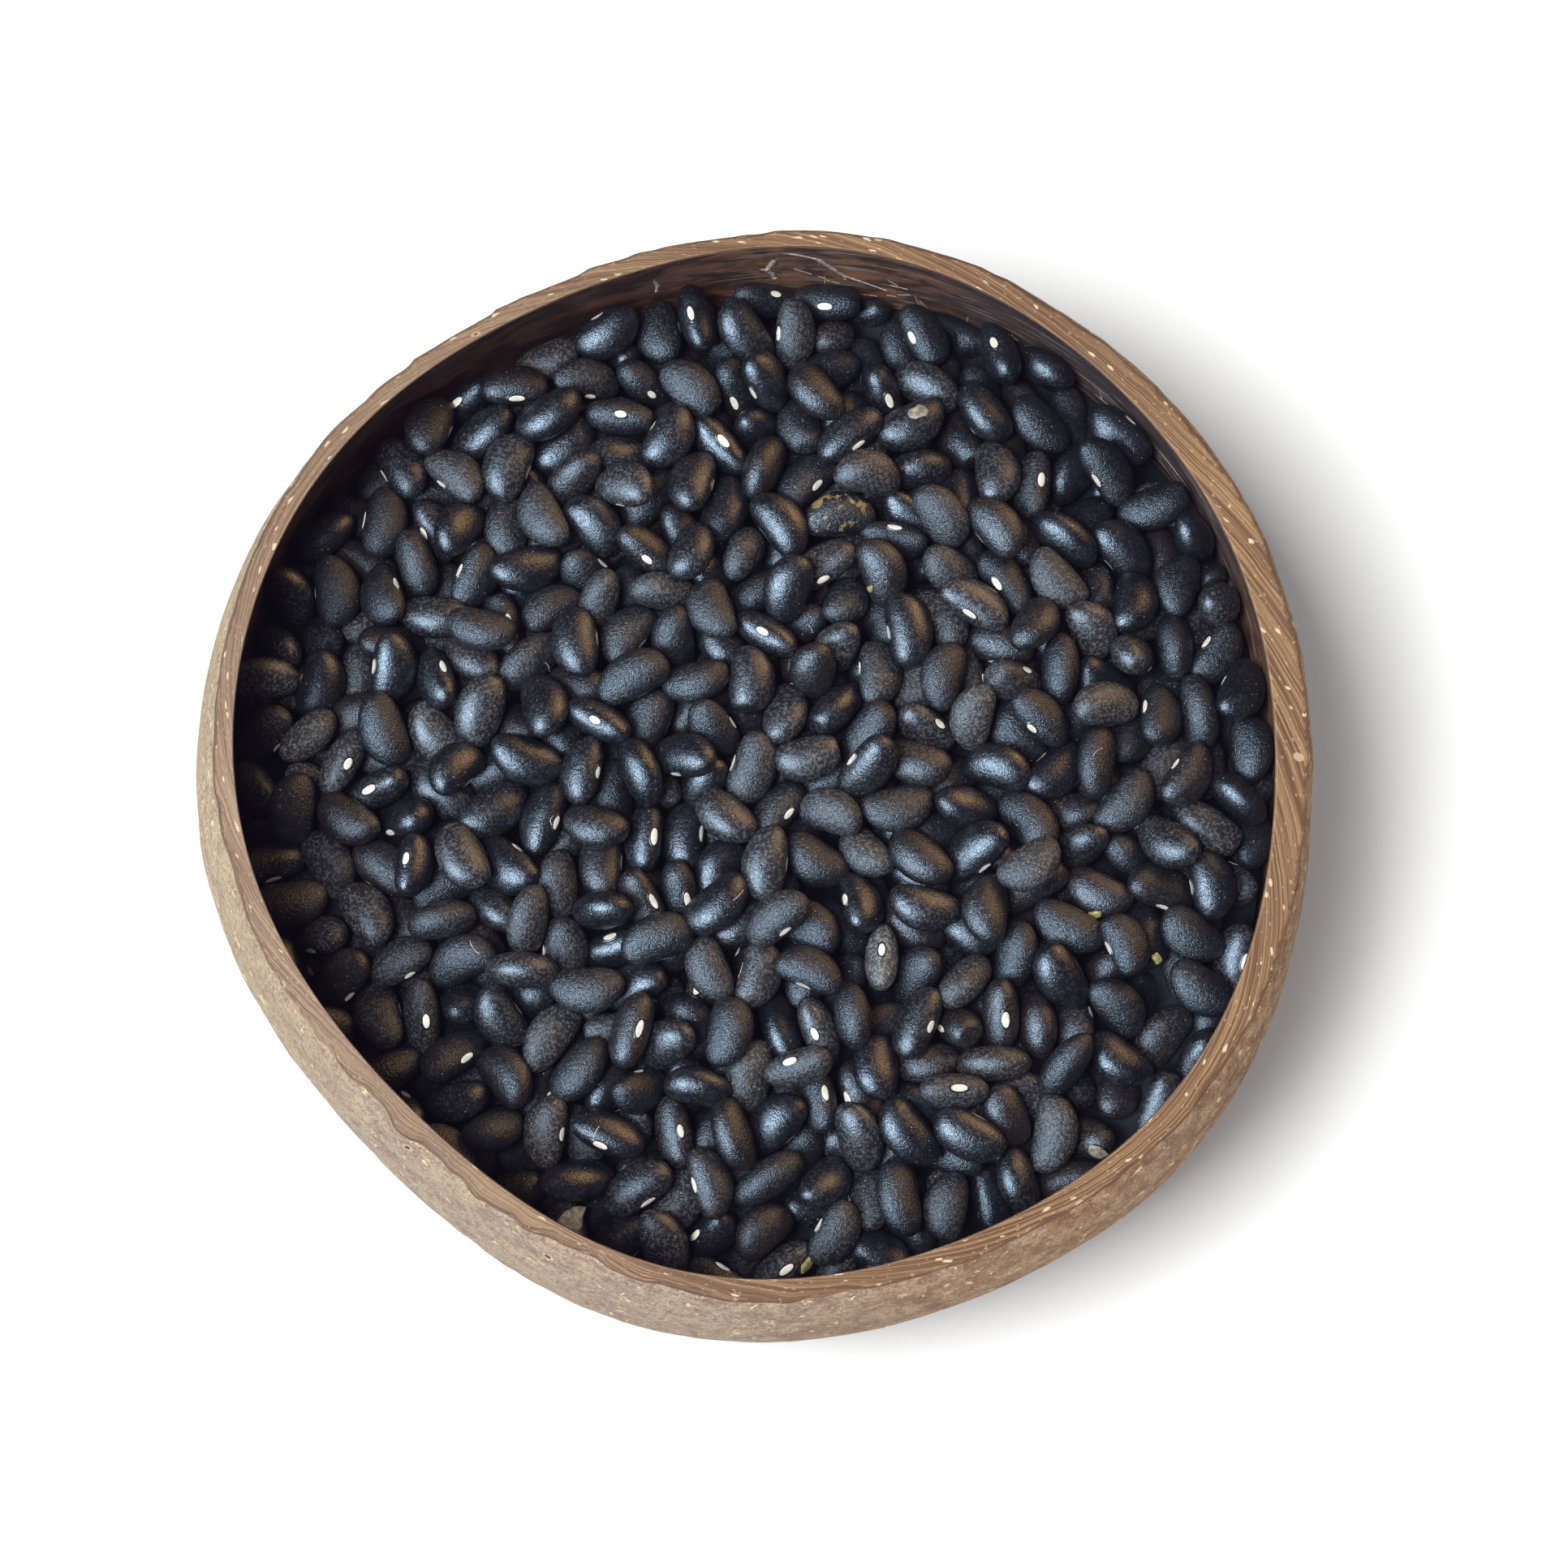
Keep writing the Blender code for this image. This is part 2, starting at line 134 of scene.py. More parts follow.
# Places in the photograph, in its pixels. A vein is its path and its width in mm.
VEINS = (
    (((957, 319), (951, 327), (945, 334)), 1.5),
    (((936, 332), (940, 333), (945, 334)), 1.3),
    (((945, 334), (951, 338), (956, 345)), 1.3),
    (((806, 345), (811, 352), (808, 362)), 0.8),
    (((962, 312), (984, 315), (1006, 320), (1024, 331), (1040, 341), (1068, 350), (1100, 361)), 1.2),
)
RIM_MIDDLE = (930, 970)
WALL_TOP_PIXELS = 652
SCRATCHES = 34
# A painted highlight line just under the rim's inner edge is its distance from the rim's middle and the
# angles it runs between, in radians.
EDGE_HIGHLIGHT_LINES = ((649, 0.60, 0.80), (644, 0.68, 0.86), (637, 0.62, 0.73), (641, 0.90, 1.02))
# A flake is its place and its length and width in mm.
GREEN_FLAKES = (
    (1349, 1126, 2.3, 1.5), (1425, 1181, 2.1, 1.5), (1073, 725, 1.8, 1.0), (994, 1558, 3.6, 2.4),
    (381, 1196, 2.0, 1.0), (700, 414, 1.6, 0.8),
)
HUSK_FLAKES = ((703, 1504, 6.4, 3.6), (1352, 1418, 3.6, 2.4), (1132, 508, 3.0, 2.2), (1222, 375, 2.0, 1.0))
HEAP_MIDDLE = (930, 985)
HEAP_PIXELS = 560
FIBRES = 15
FIBRE_STEPS = 7
# A bean with a look of its own is its place, tint, dust and mottling.
MARKED_BEANS = (
    (1010, 632, 0.5, 0.10, 1.0),
    (1046, 1163, 0.3, 1.00, 0.0),
    (1225, 895, 0.3, 0.70, 0.0),
    (1157, 1300, 0.2, 0.45, 0.0),
    (645, 1155, 0.1, 0.40, 0.0),
    (997, 1305, 0.1, 0.45, 0.0),
    (1190, 636, 0.1, 0.35, 0.0),
    (1335, 725, 0.2, 0.50, 0.0),
    (775, 730, 0.2, 0.50, 0.0),
)

# The kinds of bean: the share of the beans it takes, from and to, then base colour, tint, roughness, grain.
BEAN_KINDS = (
    ("black", 0.0, 0.45, (0.0045, 0.0045, 0.0080), (0.0072, 0.0075, 0.0122), 0.30, 0.7),
    ("grained", 0.45, 0.84, (0.0058, 0.0056, 0.0088), (0.0090, 0.0092, 0.0132), 0.33, 1.4),
    ("warm", 0.84, 1.0, (0.0074, 0.0058, 0.0070), (0.0140, 0.0100, 0.0110), 0.32, 1.0),
)

# The lights: name, place, aim and size in metres, power in watts, colour and what it shines in.
LIGHTS = (
    ("main", (-0.430, -0.240, 1.311), (0, 0, 0), (0.36, 0.36), 22, (1.0, 0.985, 0.965), "diffuse"),
    ("cool", (-0.70, -0.37, 0.76), (0, 0, 0.06), (0.62, 0.54), 66, (0.58, 0.78, 1.0), "glossy"),
    ("warm", (0.59, 0.61, 0.53), (0, 0, 0.06), (0.70, 0.50), 12, (1.0, 0.62, 0.30), "glossy"),
)
WORLD_COLOUR = (0.92, 0.95, 1.0, 1)
WORLD_STRENGTH = 0.29
FLOOR_SIZE = 3.0
FLOOR_COLOUR = (0.908, 0.928, 0.940)

# How far the darkest shadows are lifted, as in the photograph: a faint navy.
SHADOW_TINT = (-0.0032, -0.0027, -0.0052)


# Outline of the bowl.


def lobe_weights(terms):
    found = []
    for lobes, swell, degrees in terms:
        turn = math.radians(lobes * degrees)
        found.append((lobes, round(swell * math.cos(turn), 6) * MM, round(swell * math.sin(turn), 6) * MM))
    return found


def lobed(terms, cosine, sine):
    total = cosine * 0.0
    many_cosine = cosine
    many_sine = sine
    reached = 1
    for lobes, cosine_weight, sine_weight in lobe_weights(terms):
        while reached < lobes:
            next_cosine = many_cosine * cosine - many_sine * sine
            many_sine = many_sine * cosine + many_cosine * sine
            many_cosine = next_cosine
            reached += 1
        total = total + cosine_weight * many_cosine + sine_weight * many_sine
    return total


def rim_inner(cosine, sine):
    return RIM_RADIUS + lobed(RIM_LOBES, cosine, sine)


def wall_thickness(cosine, sine):
    return WALL + lobed(WALL_LOBES, cosine, sine)


def bulge(cosine, sine):
    """How far the wall swells out at the belly, with one more swelling at the back right."""
    turn = math.radians(SIDE_SWELL_DEGREES)
    toward = np.maximum(cosine * round(math.cos(turn), 6) + sine * round(math.sin(turn), 6), 0.0)
    toward = toward * toward * toward * toward
    return BULGE + lobed(BULGE_LOBES, cosine, sine) + SIDE_SWELL * toward * toward


def bowl_depth(flat_height, flat_radius):
    share = flat_radius / (RIM_RADIUS + BULGE)
    return (HEIGHT - BELLY_DEPTH - flat_height) / math.sqrt(1 - share * share)


def profile(rim, swell, half_axis, height):
    depth = HEIGHT - height
    above = np.maximum(BELLY_DEPTH - depth, 0.0) / BELLY_DEPTH
    below = np.minimum(np.maximum(depth - BELLY_DEPTH, 0.0) / half_axis, 1.0)
    return (rim + swell - swell * above * above) * np.sqrt(1 - below * below)


def outer_radius(cosine, sine, height):
    rim = rim_inner(cosine, sine) + wall_thickness(cosine, sine)
    return profile(rim, bulge(cosine, sine), bowl_depth(0.0, FOOT_RADIUS), height)


def inner_radius(cosine, sine, height):
    half_axis = bowl_depth(FLOOR_THICKNESS, WELL_RADIUS)
    return profile(rim_inner(cosine, sine), bulge(cosine, sine), half_axis, height)


def heap_surface(x, y):
    away = (x * x + y * y) / (RIM_RADIUS * RIM_RADIUS)
    slope = (RISE_TO_RIGHT * x + RISE_TO_BACK * y) / RIM_RADIUS
    return HEIGHT - FILL_DEPTH - CROWN * away + slope


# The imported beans, as in the part.


class Beans:
    def __init__(self):
        draw = random.Random(SEED)
        starts, turns, scales = [], [], []
        reach = int(RIM_RADIUS / GRID_PITCH) + 2
        for layer in range(LAYERS):
            for row in range(-reach, reach + 1):
                for column in range(-reach, reach + 1):
                    x = (column + 0.5 * (row % 2) + SHAKE_ALONG * (draw.random() - 0.5)) * GRID_PITCH
                    y = (row * ROW_PITCH + SHAKE_ACROSS * (draw.random() - 0.5)) * GRID_PITCH
                    lift = (layer + FIRST_LIFT + SHAKE_UP * draw.random()) * LAYER_PITCH
                    turn = self.random_turn(draw)
                    scale = [1 + SIZE_SPREAD * (draw.random() + draw.random() - 1) for _ in range(3)]
                    if x * x + y * y < (RIM_RADIUS - BEAN_WIDTH / 2) ** 2:
                        starts.append((x, y, heap_surface(x, y) - BEAN_BED + lift))
                        turns.append(turn)
                        scales.append(scale)
        self.place = np.array(starts).T.copy()
        self.turn = np.array(turns).T.copy()
        scale = np.array(scales).T
        overall = 0.5 * (1 + scale[0])
        self.length = BEAN_LENGTH * scale[0]
        self.width = BEAN_WIDTH * 0.5 * (overall + scale[1])
        self.thickness = BEAN_THICKNESS * 0.5 * (overall + scale[2])
        self.count = len(starts)

    @staticmethod
    def random_turn(draw):
        w, x, y, z = [2 * draw.random() - 1 for _ in range(4)]
        turn = [w + math.copysign(LEAST_SPIN, w), x * TIP_OVER, y * TIP_OVER, z]
        size = math.sqrt(sum(part * part for part in turn))
        return [part / size for part in turn]

    def axes(self):
        w, x, y, z = self.turn
        along = (1 - 2 * (y * y + z * z), 2 * (x * y + w * z), 2 * (x * z - w * y))
        across = (2 * (x * y - w * z), 1 - 2 * (x * x + z * z), 2 * (y * z + w * x))
        through = (2 * (x * z + w * y), 2 * (y * z - w * x), 1 - 2 * (x * x + y * y))
        return along, across, through

    def balls(self):
        along, across, _ = self.axes()
        ball = self.thickness / 2
        tip = self.length / 2 - ball
        side = self.width / 2 - ball
        inner = SIDE_BALL * tip
        spots = ((tip, 0), (-tip, 0), (inner, side), (-inner, side), (inner, -side), (-inner, -side))
        return np.array([[along[k] * u + across[k] * v for u, v in spots] for k in range(3)])

    def near_pairs(self):
        x, y, z = self.place
        first, second = np.triu_indices(self.count, 1)
        gap = (x[first] - x[second]) ** 2 + (y[first] - y[second]) ** 2 + (z[first] - z[second]) ** 2
        near = gap < (SEARCH_REACH * BEAN_LENGTH) ** 2
        return first[near], second[near]

    def shift(self, pushes):
        ease = 4 / (BEAN_WIDTH * BEAN_WIDTH)
        total = np.zeros((7, self.count))
        for bean, arm, normal, amount in pushes:
            twist = cross(arm, normal)
            for k in range(3):
                total[k] += np.bincount(bean, normal[k] * amount, self.count)
                total[3 + k] += np.bincount(bean, ease * twist[k] * amount, self.count)
            total[6] += np.bincount(bean, None, self.count)
        share = HURRY / np.maximum(total[6], HURRY)
        self.place += total[:3] * share
        tx, ty, tz = total[3:6] * share * TURN_SHARE
        w, x, y, z = self.turn
        turned = np.array([
            w - tx * x - ty * y - tz * z,
            x + tx * w + ty * z - tz * y,
            y + ty * w + tz * x - tx * z,
            z + tz * w + tx * y - ty * x,
        ])
        size = np.sqrt(turned[0] ** 2 + turned[1] ** 2 + turned[2] ** 2 + turned[3] ** 2)
        self.turn = turned / size

    def push_apart(self, pairs):
        ease = 4 / (BEAN_WIDTH * BEAN_WIDTH)
        arm = self.balls()
        spot = arm + self.place[:, None, :]
        ball = self.thickness / 2
        first, second = pairs
        pushes = []

        gap = spot[:, :, None, first] - spot[:, None, :, second]
        apart = gap[0] ** 2 + gap[1] ** 2 + gap[2] ** 2
        reach = ball[first] + ball[second]
        a, b, pair = np.nonzero(apart < reach * reach)
        distance = np.sqrt(apart[a, b, pair])
        normal = gap[:, a, b, pair] / distance
        arm_a, arm_b = arm[:, a, first[pair]], arm[:, b, second[pair]]
        give = 2 + ease * (squared(cross(arm_a, normal)) + squared(cross(arm_b, normal)))
        amount = (reach[pair] - distance) / give
        pushes.append((first[pair], arm_a, normal, amount))
        pushes.append((second[pair], arm_b, -normal, amount))

        away = np.sqrt(spot[0] ** 2 + spot[1] ** 2)
        cosine, sine = spot[0] / away, spot[1] / away
        over = away + ball + WALL_MARGIN - inner_radius(cosine, sine, np.minimum(spot[2], HEIGHT))
        a, bean = np.nonzero(over > 0)
        inward = np.array([-cosine[a, bean], -sine[a, bean], np.zeros(len(a))])
        pushes.append(self.held(bean, arm[:, a, bean], inward, over[a, bean], ease))

        under = heap_surface(spot[0], spot[1]) - BEAN_BED + ball - spot[2]
        a, bean = np.nonzero(under > 0)
        upward = np.array([np.zeros(len(a)), np.zeros(len(a)), np.ones(len(a))])
        pushes.append(self.held(bean, arm[:, a, bean], upward, under[a, bean], ease))
        self.shift(pushes)

    @staticmethod
    def held(bean, arm, normal, depth, ease):
        return bean, arm, normal, depth / (1 + ease * squared(cross(arm, normal)))

    def settle(self):
        for step in range(SINK_ROUNDS + REST_ROUNDS):
            if step % SEARCH_EVERY == 0:
                pairs = self.near_pairs()
            if step < SINK_ROUNDS:
                self.place[2] -= SINK_STEP
            self.push_apart(pairs)
        return self


def cross(a, b):
    return np.array([a[1] * b[2] - a[2] * b[1], a[2] * b[0] - a[0] * b[2], a[0] * b[1] - a[1] * b[0]])


def squared(a):
    return a[0] * a[0] + a[1] * a[1] + a[2] * a[2]


# Meshes from arrays.


def mesh_from(name, points, quads=None, triangles=None, attributes=None, slots=None):
    """A mesh object from arrays: points, faces, named vectors at the points, a material index per face."""
    data = bpy.data.meshes.new(name)
    quads = np.zeros((0, 4), np.int32) if quads is None else np.asarray(quads, np.int32)
    triangles = np.zeros((0, 3), np.int32) if triangles is None else np.asarray(triangles, np.int32)
    corners = np.concatenate([quads.ravel(), triangles.ravel()])
    sizes = np.concatenate([np.full(len(quads), 4, np.int32), np.full(len(triangles), 3, np.int32)])
    starts = np.concatenate([[0], np.cumsum(sizes)[:-1]]).astype(np.int32)
    data.vertices.add(len(points))
    data.vertices.foreach_set("co", np.ascontiguousarray(points, np.float32).ravel())
    data.loops.add(len(corners))
    data.loops.foreach_set("vertex_index", corners)
    data.polygons.add(len(sizes))
    data.polygons.foreach_set("loop_start", starts)
    if slots is not None:
        data.polygons.foreach_set("material_index", np.asarray(slots, np.int32))
    data.update(calc_edges=True)
    for title, values in (attributes or {}).items():
        layer = data.attributes.new(title, "FLOAT_VECTOR", "POINT")
        layer.data.foreach_set("vector", np.ascontiguousarray(values, np.float32).ravel())
    data.validate()
    data.shade_smooth()
    obj = bpy.data.objects.new(name, data)
    bpy.context.scene.collection.objects.link(obj)
    return obj


def grid_quads(rows, columns):
    """Quads of a grid of points whose columns close round, as (row, column) in order."""
    row, column = np.meshgrid(np.arange(rows - 1), np.arange(columns), indexing="ij")
    below = row + 1
    beside = (column + 1) % columns
    here, under = row * columns, below * columns
    corners = (here + column, here + beside, under + beside, under + column)
    return np.stack([corner.ravel() for corner in corners], axis=1)


def end_caps(low, high, last, sides):
    """Fans that close a stack of rings, from the point low to the first and from high to the last."""
    side = np.arange(sides)
    beside = (side + 1) % sides
    return np.concatenate([
        np.stack([np.full(sides, low), beside, side], axis=1),
        np.stack([np.full(sides, high), last + side, last + beside], axis=1),
    ])


def copies(faces, mirrored, points_each):
    """The faces of one form for each copy, turned inside out where the copy is mirrored."""
    repeated = faces[None] + (np.arange(len(mirrored)) * points_each)[:, None, None]
    repeated[mirrored] = repeated[mirrored][:, :, ::-1]
    return repeated.reshape(-1, faces.shape[1])


def smooth_grid(u, v, cells_u, cells_v, rng):
    """Smooth noise from -1 to 1: u wraps round at 1, v doesn't."""
    table = rng.uniform(-1, 1, (cells_u, cells_v + 2))
    a = (u % 1.0) * cells_u
    b = np.clip(v, 0, 1) * cells_v
    i, j = np.floor(a).astype(int) % cells_u, np.minimum(np.floor(b).astype(int), cells_v)
    s, t = a - np.floor(a), b - j
    s, t = s * s * (3 - 2 * s), t * t * (3 - 2 * t)
    k = (i + 1) % cells_u
    low = table[i, j] * (1 - s) + table[k, j] * s
    high = table[i, j + 1] * (1 - s) + table[k, j + 1] * s
    return low * (1 - t) + high * t


# Node materials.


class Nodes:
    """Short calls that add shader nodes. A socket may be a number, a colour or another node's output."""

    def __init__(self, name):
        self.material = bpy.data.materials.new(name)
        self.material.use_nodes = True
        self.tree = self.material.node_tree
        self.shader = self.tree.nodes["Principled BSDF"]

    def add(self, kind, **settings):
        node = self.tree.nodes.new(kind)
        for key, value in settings.items():
            setattr(node, key, value)
        return node

    def put(self, socket, value):
        if isinstance(value, bpy.types.NodeSocket):
            self.tree.links.new(value, socket)
        elif isinstance(value, tuple) and socket.type == "RGBA" and len(value) == 3:
            socket.default_value = (*value, 1)
        else:
            socket.default_value = value

    def math(self, operation, *values):
        node = self.add("ShaderNodeMath", operation=operation)
        for socket, value in zip(node.inputs, values):
            self.put(socket, value)
        return node.outputs[0]

    def vector(self, operation, *values):
        node = self.add("ShaderNodeVectorMath", operation=operation)
        for socket, value in zip(node.inputs, values):
            self.put(socket, value)
        return node.outputs[0]

    def times(self, first, second):
        return self.math("MULTIPLY", first, second)

    def scaled(self, vector, factors):
        return self.vector("MULTIPLY", vector, factors)

    def attribute(self, title):
        return self.add("ShaderNodeAttribute", attribute_name=title).outputs["Vector"]

    def split(self, vector):
        node = self.add("ShaderNodeSeparateXYZ")
        self.put(node.inputs[0], vector)
        return node.outputs[0], node.outputs[1], node.outputs[2]

    def place(self):
        return self.add("ShaderNodeTexCoord").outputs["Object"]

    def noise(self, vector, scale, detail=2.0, roughness=0.5, distortion=0.0):
        node = self.add("ShaderNodeTexNoise")
        for title, value in (("Vector", vector), ("Scale", scale), ("Detail", detail),
                             ("Roughness", roughness), ("Distortion", distortion)):
            self.put(node.inputs[title], value)
        return node.outputs["Fac"]

    def cells(self, vector, scale):
        node = self.add("ShaderNodeTexVoronoi")
        self.put(node.inputs["Vector"], vector)
        self.put(node.inputs["Scale"], scale)
        return node

    def step(self, value, low, high, to_low=0.0, to_high=1.0):
        node = self.add("ShaderNodeMapRange", interpolation_type="SMOOTHSTEP")
        for socket, number in zip(node.inputs, (value, low, high, to_low, to_high)):
            self.put(socket, number)
        return node.outputs[0]

    def mix(self, share, first, second):
        node = self.add("ShaderNodeMix", data_type="RGBA")
        self.put(node.inputs["Factor"], share)
        self.put(node.inputs[6], first)
        self.put(node.inputs[7], second)
        return node.outputs[2]

    def bump(self, height, strength, distance, under=None):
        node = self.add("ShaderNodeBump")
        self.put(node.inputs["Height"], height)
        self.put(node.inputs["Strength"], strength)
        self.put(node.inputs["Distance"], distance)
        if under is not None:
            self.put(node.inputs["Normal"], under)
        return node.outputs[0]

    def finish(self, **sockets):
        for title, value in sockets.items():
            self.put(self.shader.inputs[title.replace("_", " ")], value)
        return self.material


def bean_material(name, base, tint, roughness, grain):
    """Satin bean skin: near black and finely pebbled, with dust, pale specks and, on a few, tan mottling."""
    n = Nodes(name)
    place = n.place()
    share, dust, mottle = n.split(n.attribute("tone"))
    pebble = n.noise(place, 2100, 2.0, 0.6)
    fine = n.noise(place, 4800, 2.0, 0.6)
    patch = n.noise(place, 420, 3.0, 0.6)
    colour = n.mix(n.times(share, 0.8), base, tint)
    colour = n.mix(n.times(n.step(patch, 0.42, 0.7), 0.6), colour, tint)
    powdered = n.times(n.times(dust, dust), 0.4)
    colour = n.mix(powdered, colour, (0.10, 0.10, 0.105))
    grains = n.times(n.step(pebble, 0.47, 0.60), n.step(fine, 0.38, 0.58, 0.25, 1.0))
    film = n.times(grains, n.math("ADD", n.step(patch, 0.40, 0.70, 0.02, 0.18), dust))
    colour = n.mix(film, colour, n.mix(dust, (0.095, 0.098, 0.114), (0.25, 0.235, 0.215)))
    speck = n.cells(place, 1250)
    spot = n.step(speck.outputs["Distance"], 0.15, 0.07)
    chosen = n.step(n.split(speck.outputs["Color"])[0], 0.80, 0.82)
    shown = n.math("ADD", n.times(chosen, 0.6), n.times(dust, 0.5))
    powder = n.times(spot, shown)
    colour = n.mix(powder, colour, (0.42, 0.40, 0.37))
    blotch = n.noise(place, 560, 3.0, 0.55, 0.6)
    tan = n.times(n.step(blotch, 0.56, 0.60), mottle)
    colour = n.mix(tan, colour, (0.24, 0.18, 0.085))
    orange = n.times(n.step(blotch, 0.65, 0.68), mottle)
    colour = n.mix(orange, colour, (0.42, 0.21, 0.05))
    rough = n.math("ADD", roughness, n.times(n.math("SUBTRACT", patch, 0.5), 0.2))
    rough = n.math("ADD", rough, n.times(n.math("ADD", grains, dust), 0.16))
    normal = n.bump(n.noise(place, 300, 2.0), 0.25, 0.0004)
    normal = n.bump(n.math("ADD", pebble, fine), grain, 0.00011, normal)
    return n.finish(Base_Color=colour, Roughness=rough, Normal=normal, Specular_IOR_Level=0.5)


def plain_material(name, colour, roughness, spread=0.25, scale=900, bump=0.2):
    """A finish of one colour, a little lighter and darker in patches."""
    n = Nodes(name)
    patch = n.noise(n.place(), scale, 3.0)
    dark = tuple(part * (1 - spread) for part in colour)
    pale = tuple(min(part * (1 + spread), 1) for part in colour)
    shade = n.mix(n.step(patch, 0.3, 0.7), dark, pale)
    normal = n.bump(patch, bump, 0.0002)
    return n.finish(Base_Color=shade, Roughness=roughness, Normal=normal)


# The beans.


class BeanForms:
    """The true shape of each bean that can be seen, from its packed place and a few draws of its own."""

    def __init__(self, beans):
        level = beans.place[2] - heap_surface(beans.place[0], beans.place[1])
        keep = np.nonzero(level > -BURIED)[0]
        self.level = level[keep]
        self.count = len(keep)
        self.middle = beans.place[:, keep].T
        self.frame = np.array([[axis[k][keep] for k in range(3)] for axis in beans.axes()])
        self.half = np.stack([beans.length[keep], beans.width[keep], beans.thickness[keep]], axis=1) / 2
        self.half = self.half * [1.08, 0.98, 1.0]
        rng = np.random.default_rng(SEED + 1)
        draw = lambda low, high: rng.uniform(low, high, (self.count, 1))
        self.blunt = draw(0.85, 0.98)
        self.bend = draw(0.14, 0.36)
        self.taper = draw(-0.07, 0.07)
        self.swell = draw(0.0, 0.03)
        self.swell_turn = draw(0, 2 * math.pi)
        self.dent = draw(0.0, 0.012)
        self.dent_turn = draw(0, 2 * math.pi)
        self.cut = np.where(draw(0, 1) < 0.10, draw(0.78, 0.92), 2.0)
        self.notch = draw(0.02, 0.05)
        self.side = np.where(draw(0, 1) < 0.5, 1.0, -1.0)
        self.tone = np.concatenate([draw(0, 1), 0.55 * draw(0, 1) ** 3, np.zeros((self.count, 1))], axis=1)

    def surface(self, theta, phi):
        """Points at (bean, point) for angles along and round each bean, in metres in the scene."""
        c, s = np.cos(theta), np.sin(theta)
        along = np.sign(c) * np.abs(c) ** self.blunt
        girth = np.abs(s) ** self.blunt
        girth = girth * (1 + self.taper * along) * (1 + self.swell * np.cos(2 * phi + self.swell_turn))
        girth = girth * (1 + self.dent * np.cos(3 * phi + self.dent_turn + 2 * along))
        along = np.where(along > self.cut, self.cut + 0.3 * (along - self.cut), along)
        hollow = self.notch * np.exp(-(along / 0.3) ** 2) * np.exp(-(np.sin(phi / 2) / 0.28) ** 2)
        v = self.side * ((girth - hollow) * np.cos(phi) + self.bend * (along * along - 0.35))
        w = girth * np.sin(phi)
        local = np.stack([along * self.half[:, 0:1], v * self.half[:, 1:2], w * self.half[:, 2:3]])
        turned = [(local * self.frame[:, k, :, None]).sum(axis=0) for k in range(3)]
        return np.stack(turned, axis=2) + self.middle[:, None, :]

    def normal(self, theta, phi):
        step = 0.01
        a = self.surface(theta + step, phi) - self.surface(theta - step, phi)
        b = self.surface(theta, phi + step) - self.surface(theta, phi - step)
        n = np.cross(a, b) * self.side[:, :, None]
        return n / np.linalg.norm(n, axis=2, keepdims=True)


def bean_grid():
    """Angles of a bean's points, tips first and last, and its faces."""
    rows = np.arange(1, BEAN_RINGS + 1) / (BEAN_RINGS + 1)
    rows = math.pi * (rows - 0.35 * np.sin(2 * math.pi * rows) / (2 * math.pi))
    theta = np.concatenate([[1e-4], np.repeat(rows, BEAN_SIDES), [math.pi - 1e-4]])
    turns = np.arange(BEAN_SIDES) * 2 * math.pi / BEAN_SIDES
    phi = np.concatenate([[0.0], np.tile(turns, BEAN_RINGS), [0.0]])
    quads = grid_quads(BEAN_RINGS, BEAN_SIDES) + 1
    side = np.arange(BEAN_SIDES)
    last = 1 + BEAN_RINGS * BEAN_SIDES
    beside = (side + 1) % BEAN_SIDES
    caps = np.concatenate([
        np.stack([np.zeros_like(side), 1 + side, 1 + beside], axis=1),
        np.stack([np.full_like(side, last), last - BEAN_SIDES + beside, last - BEAN_SIDES + side], axis=1),
    ])
    return theta, phi, quads[:, ::-1], caps


def make_beans(forms, kinds):
    """One joined mesh per kind: kinds is (name, chosen beans, material)."""
    theta, phi, quads, caps = bean_grid()
    points = forms.surface(theta[None], phi[None])
    made = []
    for name, chosen, finish in kinds:
        mirrored = forms.side[chosen, 0] < 0
        all_quads = copies(quads, mirrored, points.shape[1])
        all_caps = copies(caps, mirrored, points.shape[1])
        tone = np.repeat(forms.tone[chosen], points.shape[1], axis=0)
        obj = mesh_from(name, points[chosen].reshape(-1, 3), all_quads, all_caps, {"tone": tone})
        obj.data.materials.append(finish)
        made.append(obj)
    return made


